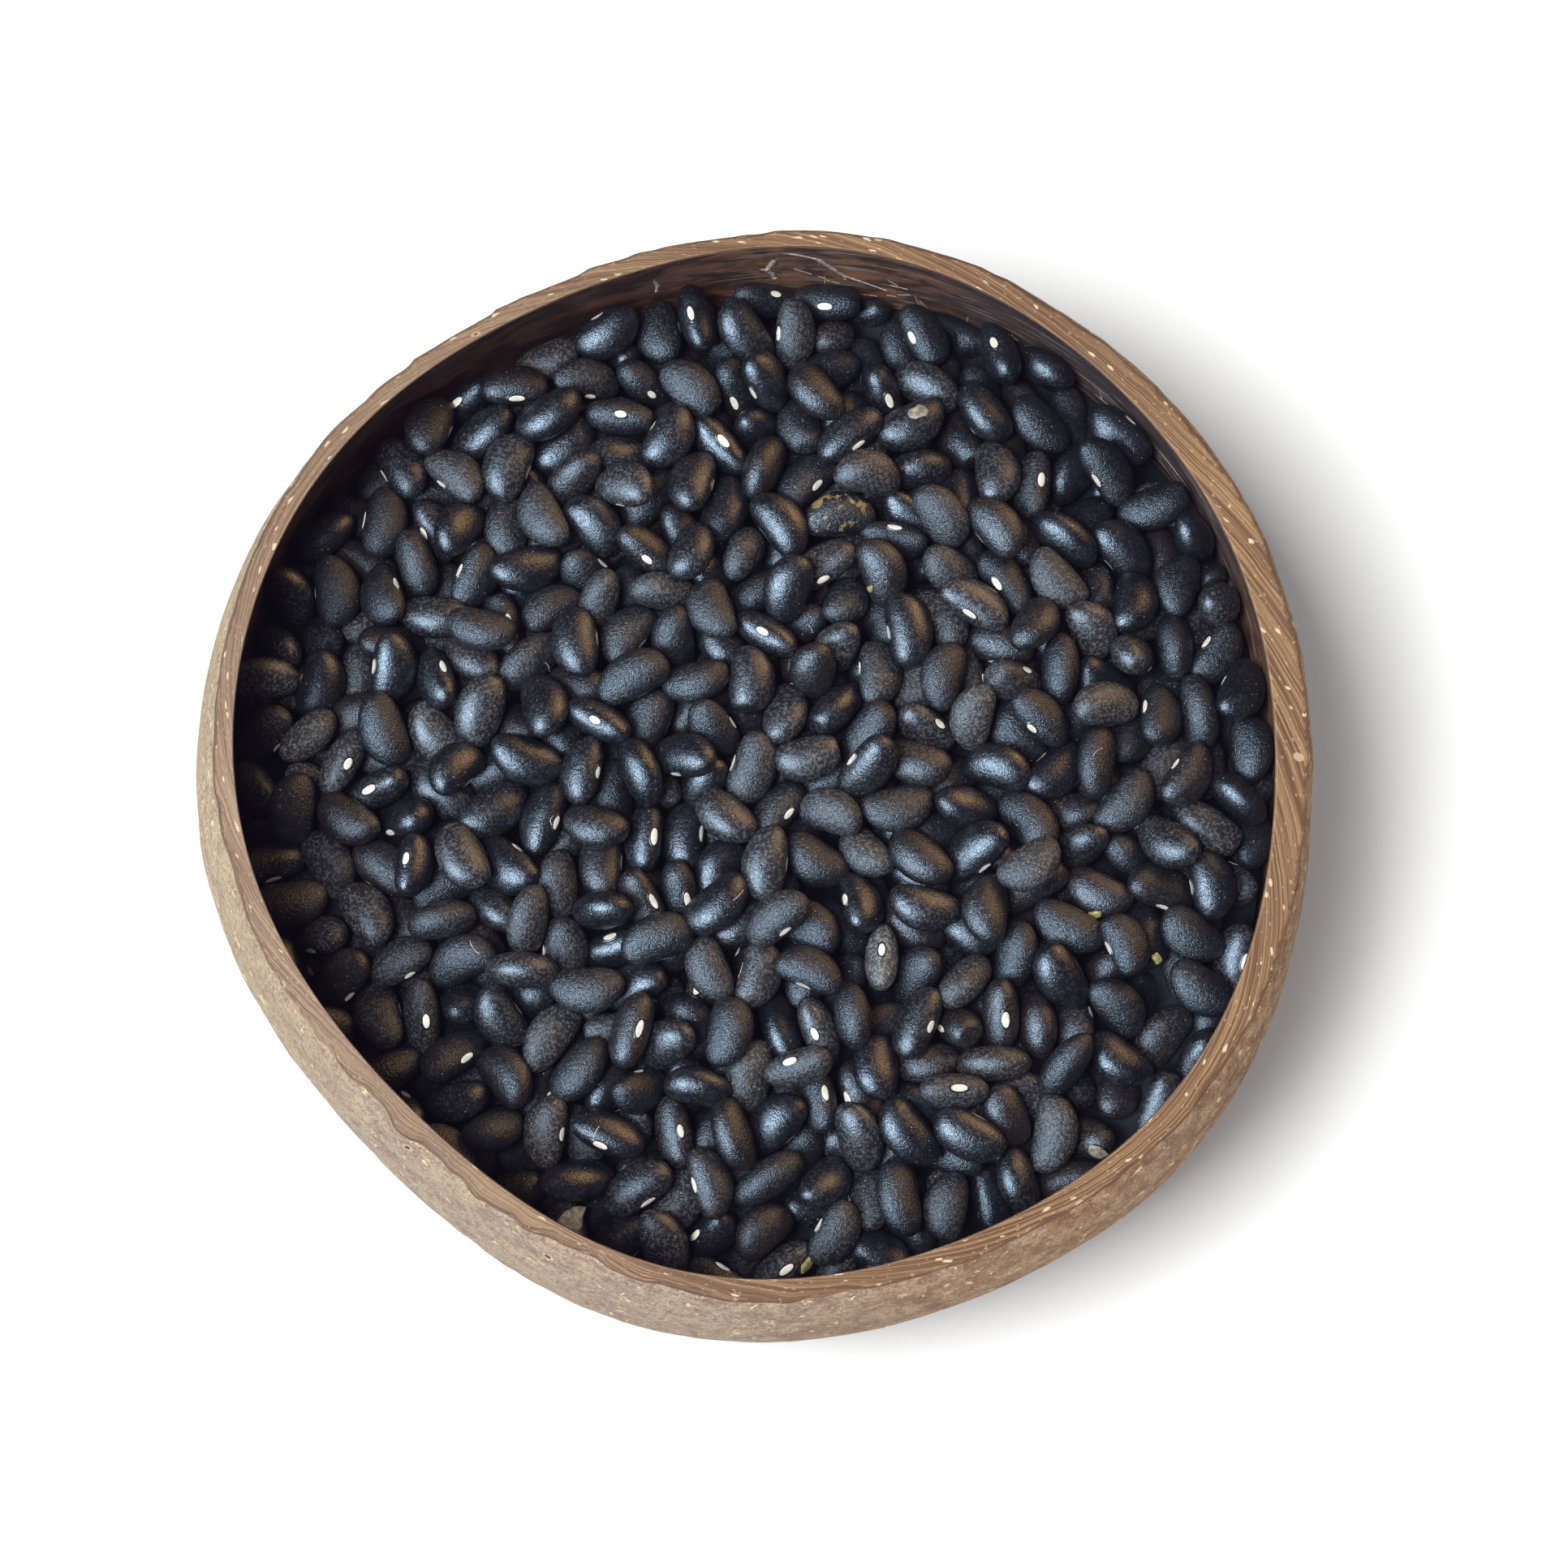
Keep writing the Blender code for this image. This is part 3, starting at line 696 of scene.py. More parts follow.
def make_hila(forms, finish_pale, finish_rim):
    """The pale oval scar on each bean's hollow side, with its thin raised rim."""
    chosen = np.nonzero(forms.level > -8 * MM)[0]
    turn = np.arange(HILUM_SIDES) * 2 * math.pi / HILUM_SIDES
    rng = np.random.default_rng(SEED + 2)
    length = rng.uniform(0.74, 1.02, (forms.count, 1)) * MM
    width = rng.uniform(0.42, 0.53, (forms.count, 1)) * MM
    shift = rng.uniform(-0.05, 0.05, (forms.count, 1))
    lean = rng.uniform(-0.1, 0.1, (forms.count, 1))
    times = [1] + [HILUM_SIDES] * (len(HILUM_RINGS) - 1)
    share = np.repeat([ring[0] for ring in HILUM_RINGS], times)
    height = np.repeat([ring[1] for ring in HILUM_RINGS], times)
    around = np.concatenate([[0.0], np.tile(turn, len(HILUM_RINGS) - 1)])
    du = share[None] * np.cos(around)[None] * length / forms.half[:, 0:1]
    dv = share[None] * np.sin(around)[None] * width / forms.half[:, 2:3]
    theta = math.pi / 2 + shift + du
    phi = lean + dv
    points = forms.surface(theta, phi) + forms.normal(theta, phi) * (height * MM)[None, :, None]
    side = np.arange(HILUM_SIDES)
    beside = (side + 1) % HILUM_SIDES
    fan = np.stack([np.zeros_like(side), 1 + side, 1 + beside], axis=1)
    quads = grid_quads(len(HILUM_RINGS) - 1, HILUM_SIDES)[:, ::-1] + 1
    slots = np.repeat([ring[2] for ring in HILUM_RINGS[2:]], HILUM_SIDES)
    facing = forms.normal(np.full((forms.count, 1), math.pi / 2), np.zeros((forms.count, 1)))[:, 0, 2]
    chosen = chosen[facing[chosen] > -0.4]
    mirrored = forms.side[chosen, 0] < 0
    all_quads = copies(quads, mirrored, points.shape[1])
    all_fans = copies(fan, mirrored, points.shape[1])
    obj = mesh_from("hila", points[chosen].reshape(-1, 3), all_quads, all_fans,
                    {"tone": np.repeat(forms.tone[chosen], points.shape[1], axis=0)},
                    np.concatenate([np.tile(slots, len(chosen)), np.zeros(len(all_fans))]))
    obj.data.materials.append(finish_pale)
    obj.data.materials.append(finish_rim)
    return obj


def make_core(finish):
    """What lies under the beans that are made: a dark closed body inside the bowl, painted as the deep shade
    between them.
    """
    sides = CORE_SIDES
    turn = np.arange(sides) * 2 * math.pi / sides
    cosine, sine = np.cos(turn), np.sin(turn)
    rings = []
    for height in np.linspace(CORE_BOTTOM, CORE_WALL_TOP, 16):
        radius = inner_radius(cosine, sine, height) - CORE_GAP
        rings.append(np.stack([radius * cosine, radius * sine, np.full(sides, height)], axis=1))
    for share in np.linspace(1.0, 0.02, 14):
        radius = share * (inner_radius(cosine, sine, CORE_TOP) - CORE_GAP)
        x, y = radius * cosine, radius * sine
        rings.append(np.stack([x, y, heap_surface(x, y) - CORE_SINK], axis=1))
    points = np.concatenate(rings)
    points = np.concatenate([points, [[0, 0, CORE_BOTTOM], [0, 0, heap_surface(0, 0) - CORE_SINK]]])
    caps = end_caps(len(points) - 2, len(points) - 1, (len(rings) - 1) * sides, sides)
    obj = mesh_from("bean_core", points, grid_quads(len(rings), sides), caps)
    obj.data.materials.append(finish)
    return obj


# The bowl.


def shell_edge(turn, lower_left):
    """The outer edge all round, in metres: its small chips and its worn bevel."""
    edge = np.random.default_rng(SEED + 4)
    u = turn / (2 * math.pi)

    def wave(cells):
        return smooth_grid(u, u * 0, cells, 1, edge)

    chips = 0.16 * wave(90) + 0.11 * wave(210)
    worn = np.maximum(wave(70), 0) + 0.5 * np.maximum(wave(150), 0)
    chips = chips + lower_left * (0.50 * wave(90) + 0.38 * wave(200))
    for degrees, size in SAW_STEPS:
        away = np.degrees(turn) - degrees
        step = np.tanh(-away / 0.35) * np.exp(-((away / 4.0) ** 2))
        chips = chips + size * np.where(np.abs(away) < 8, step, 0)
    return chips * MM, (0.28 + worn * (0.35 + 0.9 * lower_left)) * MM


def make_bowl(finishes):
    """The shell as one closed mesh: outer face, worn outer edge, sawn rim, inner edge, inner face."""
    turn = np.arange(BOWL_SIDES) * 2 * math.pi / BOWL_SIDES
    cosine, sine = np.cos(turn), np.sin(turn)
    u = turn / (2 * math.pi)
    half_axis = bowl_depth(0.0, FOOT_RADIUS)
    last = math.asin((HEIGHT - BELLY_DEPTH) / half_axis)
    belly = HEIGHT - BELLY_DEPTH
    heights = [belly - half_axis * math.sin(last * i / OUTER_STEPS) for i in range(OUTER_STEPS, 0, -1)]
    heights += list(np.linspace(belly, HEIGHT - 1.2 * MM, 16))
    seeds = [np.random.default_rng(SEED + 10 + k).integers(1 << 30) for k in range(4)]
    lower_left = np.exp(-(((np.degrees(turn) - WORN_DEGREES) / WORN_SPREAD) ** 2))

    def wave_at(v, cells, rows, seed):
        return smooth_grid(u, v, cells, rows, np.random.default_rng(seed))

    def relief(height):
        v = np.full(BOWL_SIDES, height / HEIGHT)
        total = 0.22 * wave_at(v, 23, 7, seeds[0]) + 0.12 * wave_at(v, 61, 17, seeds[1])
        fine = smooth_grid(u + 0.25 * v, v, 170, 30, np.random.default_rng(seeds[2]))
        total += (0.07 + 0.13 * lower_left) * fine
        return total * MM * min(height / (8 * MM), 1)

    chips, bevel = shell_edge(turn, lower_left)
    slant = 0.16 * np.sin(2 * (turn - math.radians(100))) + 0.10 * np.sin(turn - math.radians(110))
    slant = FLOW_RADIUS * slant

    rings, flows, shares, zones = [], [], [], []

    def ring(radius, height, zone, across, share=0.5):
        rings.append(np.stack([radius * cosine, radius * sine, height + 0 * radius], axis=1))
        lean = slant if zone == 1 else 0
        flow_place = [cosine * FLOW_RADIUS, sine * FLOW_RADIUS, across + lean + 0 * radius]
        flows.append(np.stack(flow_place, axis=1))
        shares.append(np.stack([share + 0 * radius, 0 * radius, 0 * radius], axis=1))
        zones.append(zone)

    for height in heights:
        near = np.clip((height - (HEIGHT - 6 * MM)) / (5 * MM), 0, 1)
        radius = outer_radius(cosine, sine, height) + relief(height) * (1 - 0.5 * near) + chips * near
        ring(radius, height, 0, height)
    outer_edge = outer_radius(cosine, sine, HEIGHT) + chips + 0.5 * relief(HEIGHT)
    inner_edge = inner_radius(cosine, sine, HEIGHT)
    ring(outer_edge - 0.05 * MM, HEIGHT - bevel, 0, HEIGHT - 0.4 * MM)
    ring(outer_edge - 0.35 * bevel, HEIGHT - 0.3 * bevel, 0, HEIGHT)
    ring(outer_edge - bevel, HEIGHT - 0.10 * MM, 1, HEIGHT + 0.4 * MM, 0.0)
    top = np.random.default_rng(SEED + 5)
    for i in range(1, RIM_STEPS):
        share = i / RIM_STEPS
        radius = (outer_edge - bevel) * (1 - share) + (inner_edge + 0.25 * MM) * share
        wave = 0.10 * smooth_grid(u, u * 0, 40, 1, top) + 0.04 * smooth_grid(u, u * 0, 160, 1, top)
        drop = (0.06 + 0.5 * np.abs(wave)) * MM * math.sin(math.pi * share)
        ring(radius, HEIGHT - drop, 1, HEIGHT + share * 4 * MM, share)
    ring(inner_edge + 0.22 * MM, HEIGHT - 0.02 * MM, 1, HEIGHT + 4.0 * MM, 1.0)
    ring(inner_edge + 0.05 * MM, HEIGHT - 0.15 * MM, 2, HEIGHT + 4.2 * MM)
    inner_axis = bowl_depth(FLOOR_THICKNESS, WELL_RADIUS)
    inner_last = math.asin((belly - FLOOR_THICKNESS) / inner_axis)
    inner = list(np.linspace(HEIGHT - 0.4 * MM, belly, INNER_STEPS))
    inner += [belly - inner_axis * math.sin(inner_last * i / INNER_STEPS) for i in range(1, INNER_STEPS + 1)]
    for height in inner:
        v = np.full(BOWL_SIDES, height / HEIGHT)
        wave = 0.10 * wave_at(v, 19, 6, seeds[3]) * MM * min((HEIGHT - height) / (3 * MM), 1)
        ring(inner_radius(cosine, sine, height) + wave, height, 2, height)

    points = np.concatenate(rings)
    flow = np.concatenate(flows)
    count = len(rings)
    points = np.concatenate([points, [[0, 0, 0], [0, 0, FLOOR_THICKNESS]]])
    flow = np.concatenate([flow, [[0, 0, 0], [0, 0, FLOOR_THICKNESS]]])
    share = np.concatenate(shares + [np.zeros((2, 3))])
    caps = end_caps(len(points) - 2, len(points) - 1, (count - 1) * BOWL_SIDES, BOWL_SIDES)
    bands = [1 if above == 1 else below for below, above in zip(zones, zones[1:])]
    slots = np.concatenate([np.repeat(bands, BOWL_SIDES), np.zeros(BOWL_SIDES), np.full(BOWL_SIDES, 2)])
    attributes = {"flow": flow, "rim": share}
    obj = mesh_from("coconut_bowl", points, grid_quads(count, BOWL_SIDES), caps, attributes, slots)
    for finish in finishes:
        obj.data.materials.append(finish)
    return obj


def ribbon(path, normals, width, lift):
    """A thin flat strip along a path: its points, four at each step, and its faces, closed at both ends."""
    path, normals = np.asarray(path), np.asarray(normals)
    along = np.gradient(path, axis=0)
    across = np.cross(normals, along)
    across /= np.linalg.norm(across, axis=1, keepdims=True)
    steps = len(path)
    taper = np.sin(np.pi * (np.arange(steps) + 0.5) / steps)[:, None] ** 0.4
    half = across * width / 2 * taper
    rings = np.stack([path - half, path - normals * lift, path + half, path + normals * lift], axis=1)
    quads = grid_quads(steps, 4)
    ends = np.array([[0, 1, 2, 3], [4 * steps - 1, 4 * steps - 2, 4 * steps - 3, 4 * steps - 4]])
    return rings.reshape(-1, 3), np.concatenate([quads, ends]), np.zeros((0, 3), int)


def join_parts(name, parts, finish):
    """One mesh from parts, each its points, its quads and its triangles."""
    offset = 0
    points, quads, triangles = [], [], []
    for part_points, part_quads, part_triangles in parts:
        points.append(part_points)
        quads.append(part_quads + offset)
        triangles.append(part_triangles + offset)
        offset += len(part_points)
    obj = mesh_from(name, np.concatenate(points), np.concatenate(quads), np.concatenate(triangles))
    obj.data.materials.append(finish)
    return obj


def camera_hit(targets, pixel):
    """Where the sight line through a pixel of the photograph first meets a piece, and its normal there."""
    camera = bpy.context.scene.camera
    middle = FRAME_PIXELS / 2
    focal = CAMERA_LENS / SENSOR * FRAME_PIXELS
    way = camera.matrix_world.to_3x3() @ Vector((pixel[0] - middle, middle - pixel[1], -focal))
    start = camera.matrix_world.translation
    best = None
    for target in targets:
        met, place, normal, _ = target.ray_cast(start, way.normalized())
        if met and (best is None or (place - start).length < (best[0] - start).length):
            best = (place, normal)
    return best


def make_veins_and_edge_highlight(bowl, finish):
    """Pale marks on the inner face, right against it: a forked one, a long curved one and short scratches,
    with thin pale lines just under the rim's inner edge that are a painted highlight.
    """
    rng = random.Random(SEED + 7)
    strokes = [(list(path), width) for path, width in VEINS]
    middle_x, middle_y = RIM_MIDDLE
    for _ in range(SCRATCHES):
        degrees = rng.uniform(38, 84)
        radius = WALL_TOP_PIXELS - rng.uniform(8, 42)
        x = middle_x + radius * math.cos(math.radians(degrees))
        y = middle_y - radius * math.sin(math.radians(degrees))
        lean = math.radians(rng.choice((degrees + 90, degrees + 60, degrees + 20)) + rng.uniform(-20, 20))
        reach = rng.uniform(8, 30)
        step = (reach * math.cos(lean), -reach * math.sin(lean))
        bow = rng.uniform(-2.5, 2.5)
        strokes.append(([(x, y), (x + step[0] / 2 + bow, y + step[1] / 2), (x + step[0], y + step[1])],
                        rng.uniform(0.2, 0.6)))
    # Painted highlight: thin pale lines along the wall just under the inner edge.
    for radius, start, end in EDGE_HIGHLIGHT_LINES:
        path = []
        for k, angle in enumerate(np.linspace(start, end, 8)):
            x, y = middle_x + radius * math.cos(angle), middle_y - radius * math.sin(angle)
            path.append((x - 5 * k / 7, y))
        strokes.append((path, 0.12))
    parts = []
    for path, width in strokes:
        found = []
        for (x0, y0), (x1, y1) in zip(path, path[1:]):
            for share in np.linspace(0, 1, 5)[:-1]:
                found.append(camera_hit([bowl], (x0 + (x1 - x0) * share, y0 + (y1 - y0) * share)))
        found = [hit for hit in found if hit and hit[1].z < 0.5 and hit[0].z < HEIGHT - 0.6 * MM]
        if len(found) >= 4:
            places = [list(hit[0]) for hit in found]
            normals = [list(hit[1]) for hit in found]
            parts.append(ribbon(places, normals, width * MM, 0.03 * MM))
    return join_parts("shell_veins_and_edge_highlight", parts, finish)


def chip(place, normal, length, width, thickness, rng):
    """A small ragged flake lying on a spot: its points and faces."""
    sides = 11
    tangent = normal.orthogonal().normalized()
    side = normal.cross(tangent)
    turned = rng.uniform(0, 2 * math.pi)
    first = tangent * math.cos(turned) + side * math.sin(turned)
    second = normal.cross(first)
    bend = rng.uniform(0.1, 0.3)
    rim = []
    for k in range(sides):
        a = 2 * math.pi * k / sides
        reach = rng.uniform(0.72, 1.12)
        rim.append((reach * math.cos(a), reach * math.sin(a)))
    layers = []
    for level, shrink in ((-0.3, 0.9), (0.0, 1.0), (0.6, 0.96), (1.0, 0.7), (1.05, 0.3)):
        for u, v in rim:
            rise = level * thickness + bend * thickness * (1 - u * u) * 2
            layers.append(list(place + first * (u * shrink * length / 2) + second * (v * shrink * width / 2)
                               + normal * rise))
    base = list(place - normal * 0.3 * thickness)
    top = list(place + normal * (1.1 * thickness + 2 * bend * thickness))
    count = len(layers)
    fans = [[count, (k + 1) % sides, k] for k in range(sides)]
    fans += [[count + 1, 4 * sides + k, 4 * sides + (k + 1) % sides] for k in range(sides)]
    return np.array(layers + [base, top]), grid_quads(5, sides), np.array(fans)


def make_crumbs(targets, finish_green, finish_husk):
    """Flakes of pod and leaf between the beans, each lying where the photograph shows it."""
    rng = random.Random(SEED + 8)
    made = []
    kinds = (("crumbs_green", GREEN_FLAKES, finish_green), ("crumbs_husk", HUSK_FLAKES, finish_husk))
    for name, spots, finish in kinds:
        parts = []
        for x, y, length, width in spots:
            hit = camera_hit(targets, (x, y))
            if hit:
                parts.append(chip(hit[0], hit[1], length * MM, width * MM, 0.3 * MM, rng))
        made.append(join_parts(name, parts, finish))
    return made


def make_fibres(targets, finish):
    """Thin pale hairs of husk caught on the beans."""
    rng = random.Random(SEED + 9)
    parts = []
    for _ in range(FIBRES):
        angle = math.radians(rng.uniform(0, 360))
        radius = HEAP_PIXELS * math.sqrt(rng.random())
        x, y = HEAP_MIDDLE[0] + radius * math.cos(angle), HEAP_MIDDLE[1] + radius * math.sin(angle)
        way, curl, reach = rng.uniform(0, 2 * math.pi), rng.uniform(-0.4, 0.4), rng.uniform(1.2, 3.6)
        found = []
        for step in range(FIBRE_STEPS):
            found.append(camera_hit(targets, (x, y)))
            x += reach * math.cos(way + curl * step)
            y += reach * math.sin(way + curl * step)
        hits = [hit for hit in found if hit]
        jumps = [(a[0] - b[0]).length for a, b in zip(hits, hits[1:])]
        if len(hits) == FIBRE_STEPS and max(jumps) < 1.2 * MM:
            places = [list(hit[0] + hit[1] * 0.02 * MM) for hit in hits]
            parts.append(ribbon(places, [list(hit[1]) for hit in hits], 0.11 * MM, 0.04 * MM))
    return join_parts("fibres", parts, finish)


def mark_beans(forms):
    """Gives the named beans their tone; returns which bean each mark falls on."""
    spots = pixel_of(forms.middle)
    top = np.nonzero(forms.level > -3.6 * MM)[0]
    marked = []
    for x, y, tint, dust, mottle in MARKED_BEANS:
        away = np.hypot(spots[top, 0] - x, spots[top, 1] - y)
        bean = int(top[np.argmin(away)])
        forms.tone[bean] = (tint, dust, mottle)
        marked.append(bean)
    return marked


def fleck_mask(n, vector, scale, size, share, ragged=0.35):
    """Scattered small ragged spots: 1 inside a spot, for that share of the cells."""
    shaken = n.add("ShaderNodeTexNoise")
    n.put(shaken.inputs["Vector"], vector)
    n.put(shaken.inputs["Scale"], scale * 2.3)
    offset = n.vector("SUBTRACT", shaken.outputs["Color"], (0.5, 0.5, 0.5))
    moved = n.vector("ADD", vector, n.scaled(offset, (ragged / scale,) * 3))
    cell = n.cells(moved, scale)
    spot = n.step(cell.outputs["Distance"], size, size * 0.7)
    chosen = n.step(n.split(cell.outputs["Color"])[1], 1 - share, 1 - share + 0.02)
    return n.times(spot, chosen)


def pore_masks(n, vector, scale, size, share):
    """Rare round pores: the dark hole and the pale ring round it."""
    cell = n.cells(vector, scale)
    chosen = n.step(n.split(cell.outputs["Color"])[0], 1 - share, 1 - share + 0.01)
    hole = n.times(n.step(cell.outputs["Distance"], size, size * 0.75), chosen)
    ring = n.times(n.step(cell.outputs["Distance"], size * 1.9, size * 1.5), chosen)
    return hole, ring


def shell_outer():
    """The weathered outside: grey tan with fine pale flecks and pores; painted light makes it lighter and
    yellower to the left, and it is browner and warmer to the right, partly its own colour and partly painted
    warm light.
    """
    n = Nodes("shell_outer")
    place, flow = n.place(), n.attribute("flow")
    x = n.split(place)[0]
    fine = n.noise(n.scaled(flow, (0.8, 0.8, 1.0)), 2100, 5.0, 0.7, 0.3)
    coarse = n.noise(n.scaled(flow, (0.85, 0.85, 1.0)), 420, 5.0, 0.65, 0.3)
    cloud = n.noise(place, 55, 4.0, 0.6)
    patch = n.noise(n.scaled(flow, (0.8, 0.8, 1.2)), 170, 4.0, 0.6, 0.5)
    colour = n.mix(n.step(coarse, 0.32, 0.68), (0.400, 0.285, 0.225), (0.570, 0.455, 0.360))
    # Painted light: the left side is made lighter and yellower, where the lamp falls on it.
    painted_light_yellow = n.mix(n.step(coarse, 0.35, 0.65), (0.50, 0.38, 0.245), (0.66, 0.53, 0.36))
    colour = n.mix(n.step(x, -0.042, -0.074, 0.0, 0.75), colour, painted_light_yellow)
    lichen = n.times(n.step(patch, 0.50, 0.42), n.step(x, 0.03, -0.03, 0.15, 0.6))
    colour = n.mix(lichen, colour, (0.56, 0.465, 0.295))
    # Partly the shell's own colour and partly painted warm light: the right side is made browner and warmer.
    right = n.step(x, -0.02, 0.045)
    warm = n.times(n.step(cloud, 0.30, 0.55, 0.65, 1.0), right)
    amber_and_painted_warm_light = n.mix(n.step(coarse, 0.38, 0.62), (0.34, 0.160, 0.072), (0.62, 0.375, 0.195))
    colour = n.mix(n.times(warm, 0.92), colour, amber_and_painted_warm_light)
    stain = n.times(n.step(patch, 0.50, 0.66), n.step(x, -0.05, 0.03, 0.20, 0.45))
    colour = n.mix(stain, colour, (0.23, 0.115, 0.065))
    colour = n.mix(n.step(fine, 0.47, 0.62, 0.0, 0.62), colour, (0.20, 0.115, 0.072))
    thread = n.math("ABSOLUTE", n.math("SUBTRACT", n.noise(flow, 520, 3.0, 0.5, 1.2), 0.5))
    threads = n.times(n.step(thread, 0.020, 0.006), n.step(cloud, 0.40, 0.55, 0.0, 0.5))
    colour = n.mix(threads, colour, (0.72, 0.60, 0.44))
    fleck = fleck_mask(n, n.scaled(flow, (0.75, 0.75, 1.0)), 420, 0.20, 0.8, 1.2)
    small = fleck_mask(n, n.scaled(flow, (0.75, 0.75, 1.0)), 1500, 0.24, 0.6, 0.8)
    colour = n.mix(n.times(small, 0.65), colour, (0.80, 0.64, 0.42))
    colour = n.mix(n.times(fleck, 0.95), colour, (0.96, 0.78, 0.46))
    hole, ring = pore_masks(n, flow, 110, 0.055, 0.40)
    pit, halo = pore_masks(n, flow, 290, 0.085, 0.35)
    colour = n.mix(n.times(halo, 0.8), colour, (0.80, 0.62, 0.38))
    colour = n.mix(n.times(pit, 0.9), colour, (0.20, 0.09, 0.045))
    colour = n.mix(n.times(ring, 0.7), colour, (0.80, 0.62, 0.40))
    colour = n.mix(hole, colour, (0.13, 0.045, 0.022))
    raised = n.math("ADD", n.times(fine, 0.8), n.times(fleck, 0.5))
    normal = n.bump(coarse, 0.9, 0.0012)
    normal = n.bump(n.math("SUBTRACT", raised, n.times(hole, 2.0)), 0.9, 0.00035, normal)
    return n.finish(Base_Color=colour, Roughness=0.85, Normal=normal, Specular_IOR_Level=0.12)


def shell_rim():
    """The sawn face: brown with fine slanting saw marks, pale short specks and a few dark pores; painted
    light makes it lighter towards the left, with painted shade along its outer edge and a painted highlight
    along its inner edge.
    """
    n = Nodes("shell_rim")
    place, flow = n.place(), n.attribute("flow")
    x = n.split(place)[0]
    share = n.split(n.attribute("rim"))[0]
    streak = n.noise(n.scaled(flow, (0.012, 0.012, 2.0)), 1700, 3.0, 0.65)
    grain = n.noise(n.scaled(flow, (0.5, 0.5, 1.6)), 2200, 3.0, 0.6)
    band = n.noise(n.scaled(flow, (0.10, 0.10, 1.4)), 620, 3.0, 0.6)
    cloud = n.noise(place, 45, 3.0)
    # Painted light: the face is made lighter and greyer towards the left, where the lamp falls.
    left = n.step(x, 0.015, -0.065)
    low = n.mix(left, (0.130, 0.060, 0.025), (0.205, 0.125, 0.078))
    high = n.mix(left, (0.385, 0.232, 0.112), (0.425, 0.298, 0.195))
    colour = n.mix(n.step(band, 0.30, 0.70, 0.3, 0.7), low, high)
    colour = n.mix(n.step(streak, 0.50, 0.43, 0.0, 0.95), colour, low)
    colour = n.mix(n.step(streak, 0.52, 0.59, 0.0, 0.90), colour, high)
    colour = n.mix(n.step(grain, 0.48, 0.72, 0.0, 0.45), colour, (0.13, 0.066, 0.038))
    colour = n.mix(n.times(n.step(cloud, 0.48, 0.66), 0.25), colour, (0.19, 0.10, 0.058))
    # Painted shade: darker along the outer edge of the face.
    colour = n.mix(n.step(share, 0.10, 0.0, 0.0, 0.55), colour, (0.11, 0.055, 0.03))
    # Painted highlight: paler along the inner edge of the face.
    colour = n.mix(n.step(share, 0.93, 1.0, 0.0, 0.35), colour, (0.50, 0.36, 0.24))
    speck = fleck_mask(n, n.scaled(flow, (0.5, 0.5, 1.0)), 560, 0.20, 0.8, 0.5)
    tiny = fleck_mask(n, n.scaled(flow, (0.5, 0.5, 1.0)), 1500, 0.22, 0.6, 0.5)
    colour = n.mix(n.times(tiny, 0.5), colour, (0.62, 0.47, 0.31))
    colour = n.mix(n.times(speck, 0.88), colour, (0.78, 0.63, 0.42))
    hole, ring = pore_masks(n, flow, 95, 0.045, 0.35)
    colour = n.mix(n.times(ring, 0.75), colour, (0.60, 0.44, 0.28))
    colour = n.mix(hole, colour, (0.08, 0.03, 0.018))
    normal = n.bump(streak, 0.9, 0.0002, n.bump(band, 0.4, 0.0003))
    return n.finish(Base_Color=colour, Roughness=0.7, Normal=normal, Specular_IOR_Level=0.2)


def shell_inner():
    """The smooth inner face: dark brown satin; painted sheen makes it a little lighter towards the back
    right, and it is greyer in the far corner.
    """
    n = Nodes("shell_inner")
    place, flow = n.place(), n.attribute("flow")
    x, y, _ = n.split(place)
    mottle = n.noise(n.scaled(flow, (0.6, 0.6, 1.3)), 210, 5.0, 0.62, 0.5)
    fine = n.noise(flow, 1300, 3.0)
    back = n.math("ADD", x, y)
    # Painted sheen: the back right of the wall is made lighter, where the lamp's reflection falls.
    lighter = n.step(back, 0.035, 0.085)
    low = n.mix(lighter, (0.062, 0.023, 0.015), (0.090, 0.045, 0.030))
    high = n.mix(lighter, (0.160, 0.064, 0.042), (0.330, 0.170, 0.098))
    colour = n.mix(n.step(mottle, 0.40, 0.62), low, high)
    corner = n.step(back, 0.086, 0.100, 0.0, 0.8)
    colour = n.mix(corner, colour, (0.062, 0.054, 0.064))
    scrape = n.noise(n.scaled(flow, (0.10, 0.10, 1.3)), 900, 3.0, 0.65, 0.2)
    scraped = n.times(n.step(scrape, 0.56, 0.64, 0.0, 0.8), n.step(back, 0.045, 0.085))
    colour = n.mix(scraped, colour, (0.42, 0.35, 0.31))
    normal = n.bump(fine, 0.25, 0.0001, n.bump(mottle, 0.35, 0.0006))
    return n.finish(Base_Color=colour, Roughness=0.55, Normal=normal, Specular_IOR_Level=0.22)


# Camera, lights, floor.


def make_camera():
    back = Vector((
        math.sin(CAMERA_TILT) * math.cos(CAMERA_SIDE),
        math.sin(CAMERA_TILT) * math.sin(CAMERA_SIDE),
        math.cos(CAMERA_TILT),
    ))
    right = (-back).cross(Vector((0, 1, 0))).normalized()
    up = right.cross(-back)
    camera = bpy.data.objects.new("camera", bpy.data.cameras.new("camera"))
    bpy.context.scene.collection.objects.link(camera)
    turn = Matrix((right, up, back)).transposed()
    camera.matrix_world = Matrix.Translation(CAMERA_TARGET + back * CAMERA_DISTANCE) @ turn.to_4x4()
    camera.data.lens = CAMERA_LENS
    camera.data.sensor_width = SENSOR
    camera.data.clip_start = 0.01
    bpy.context.scene.camera = camera
    return camera


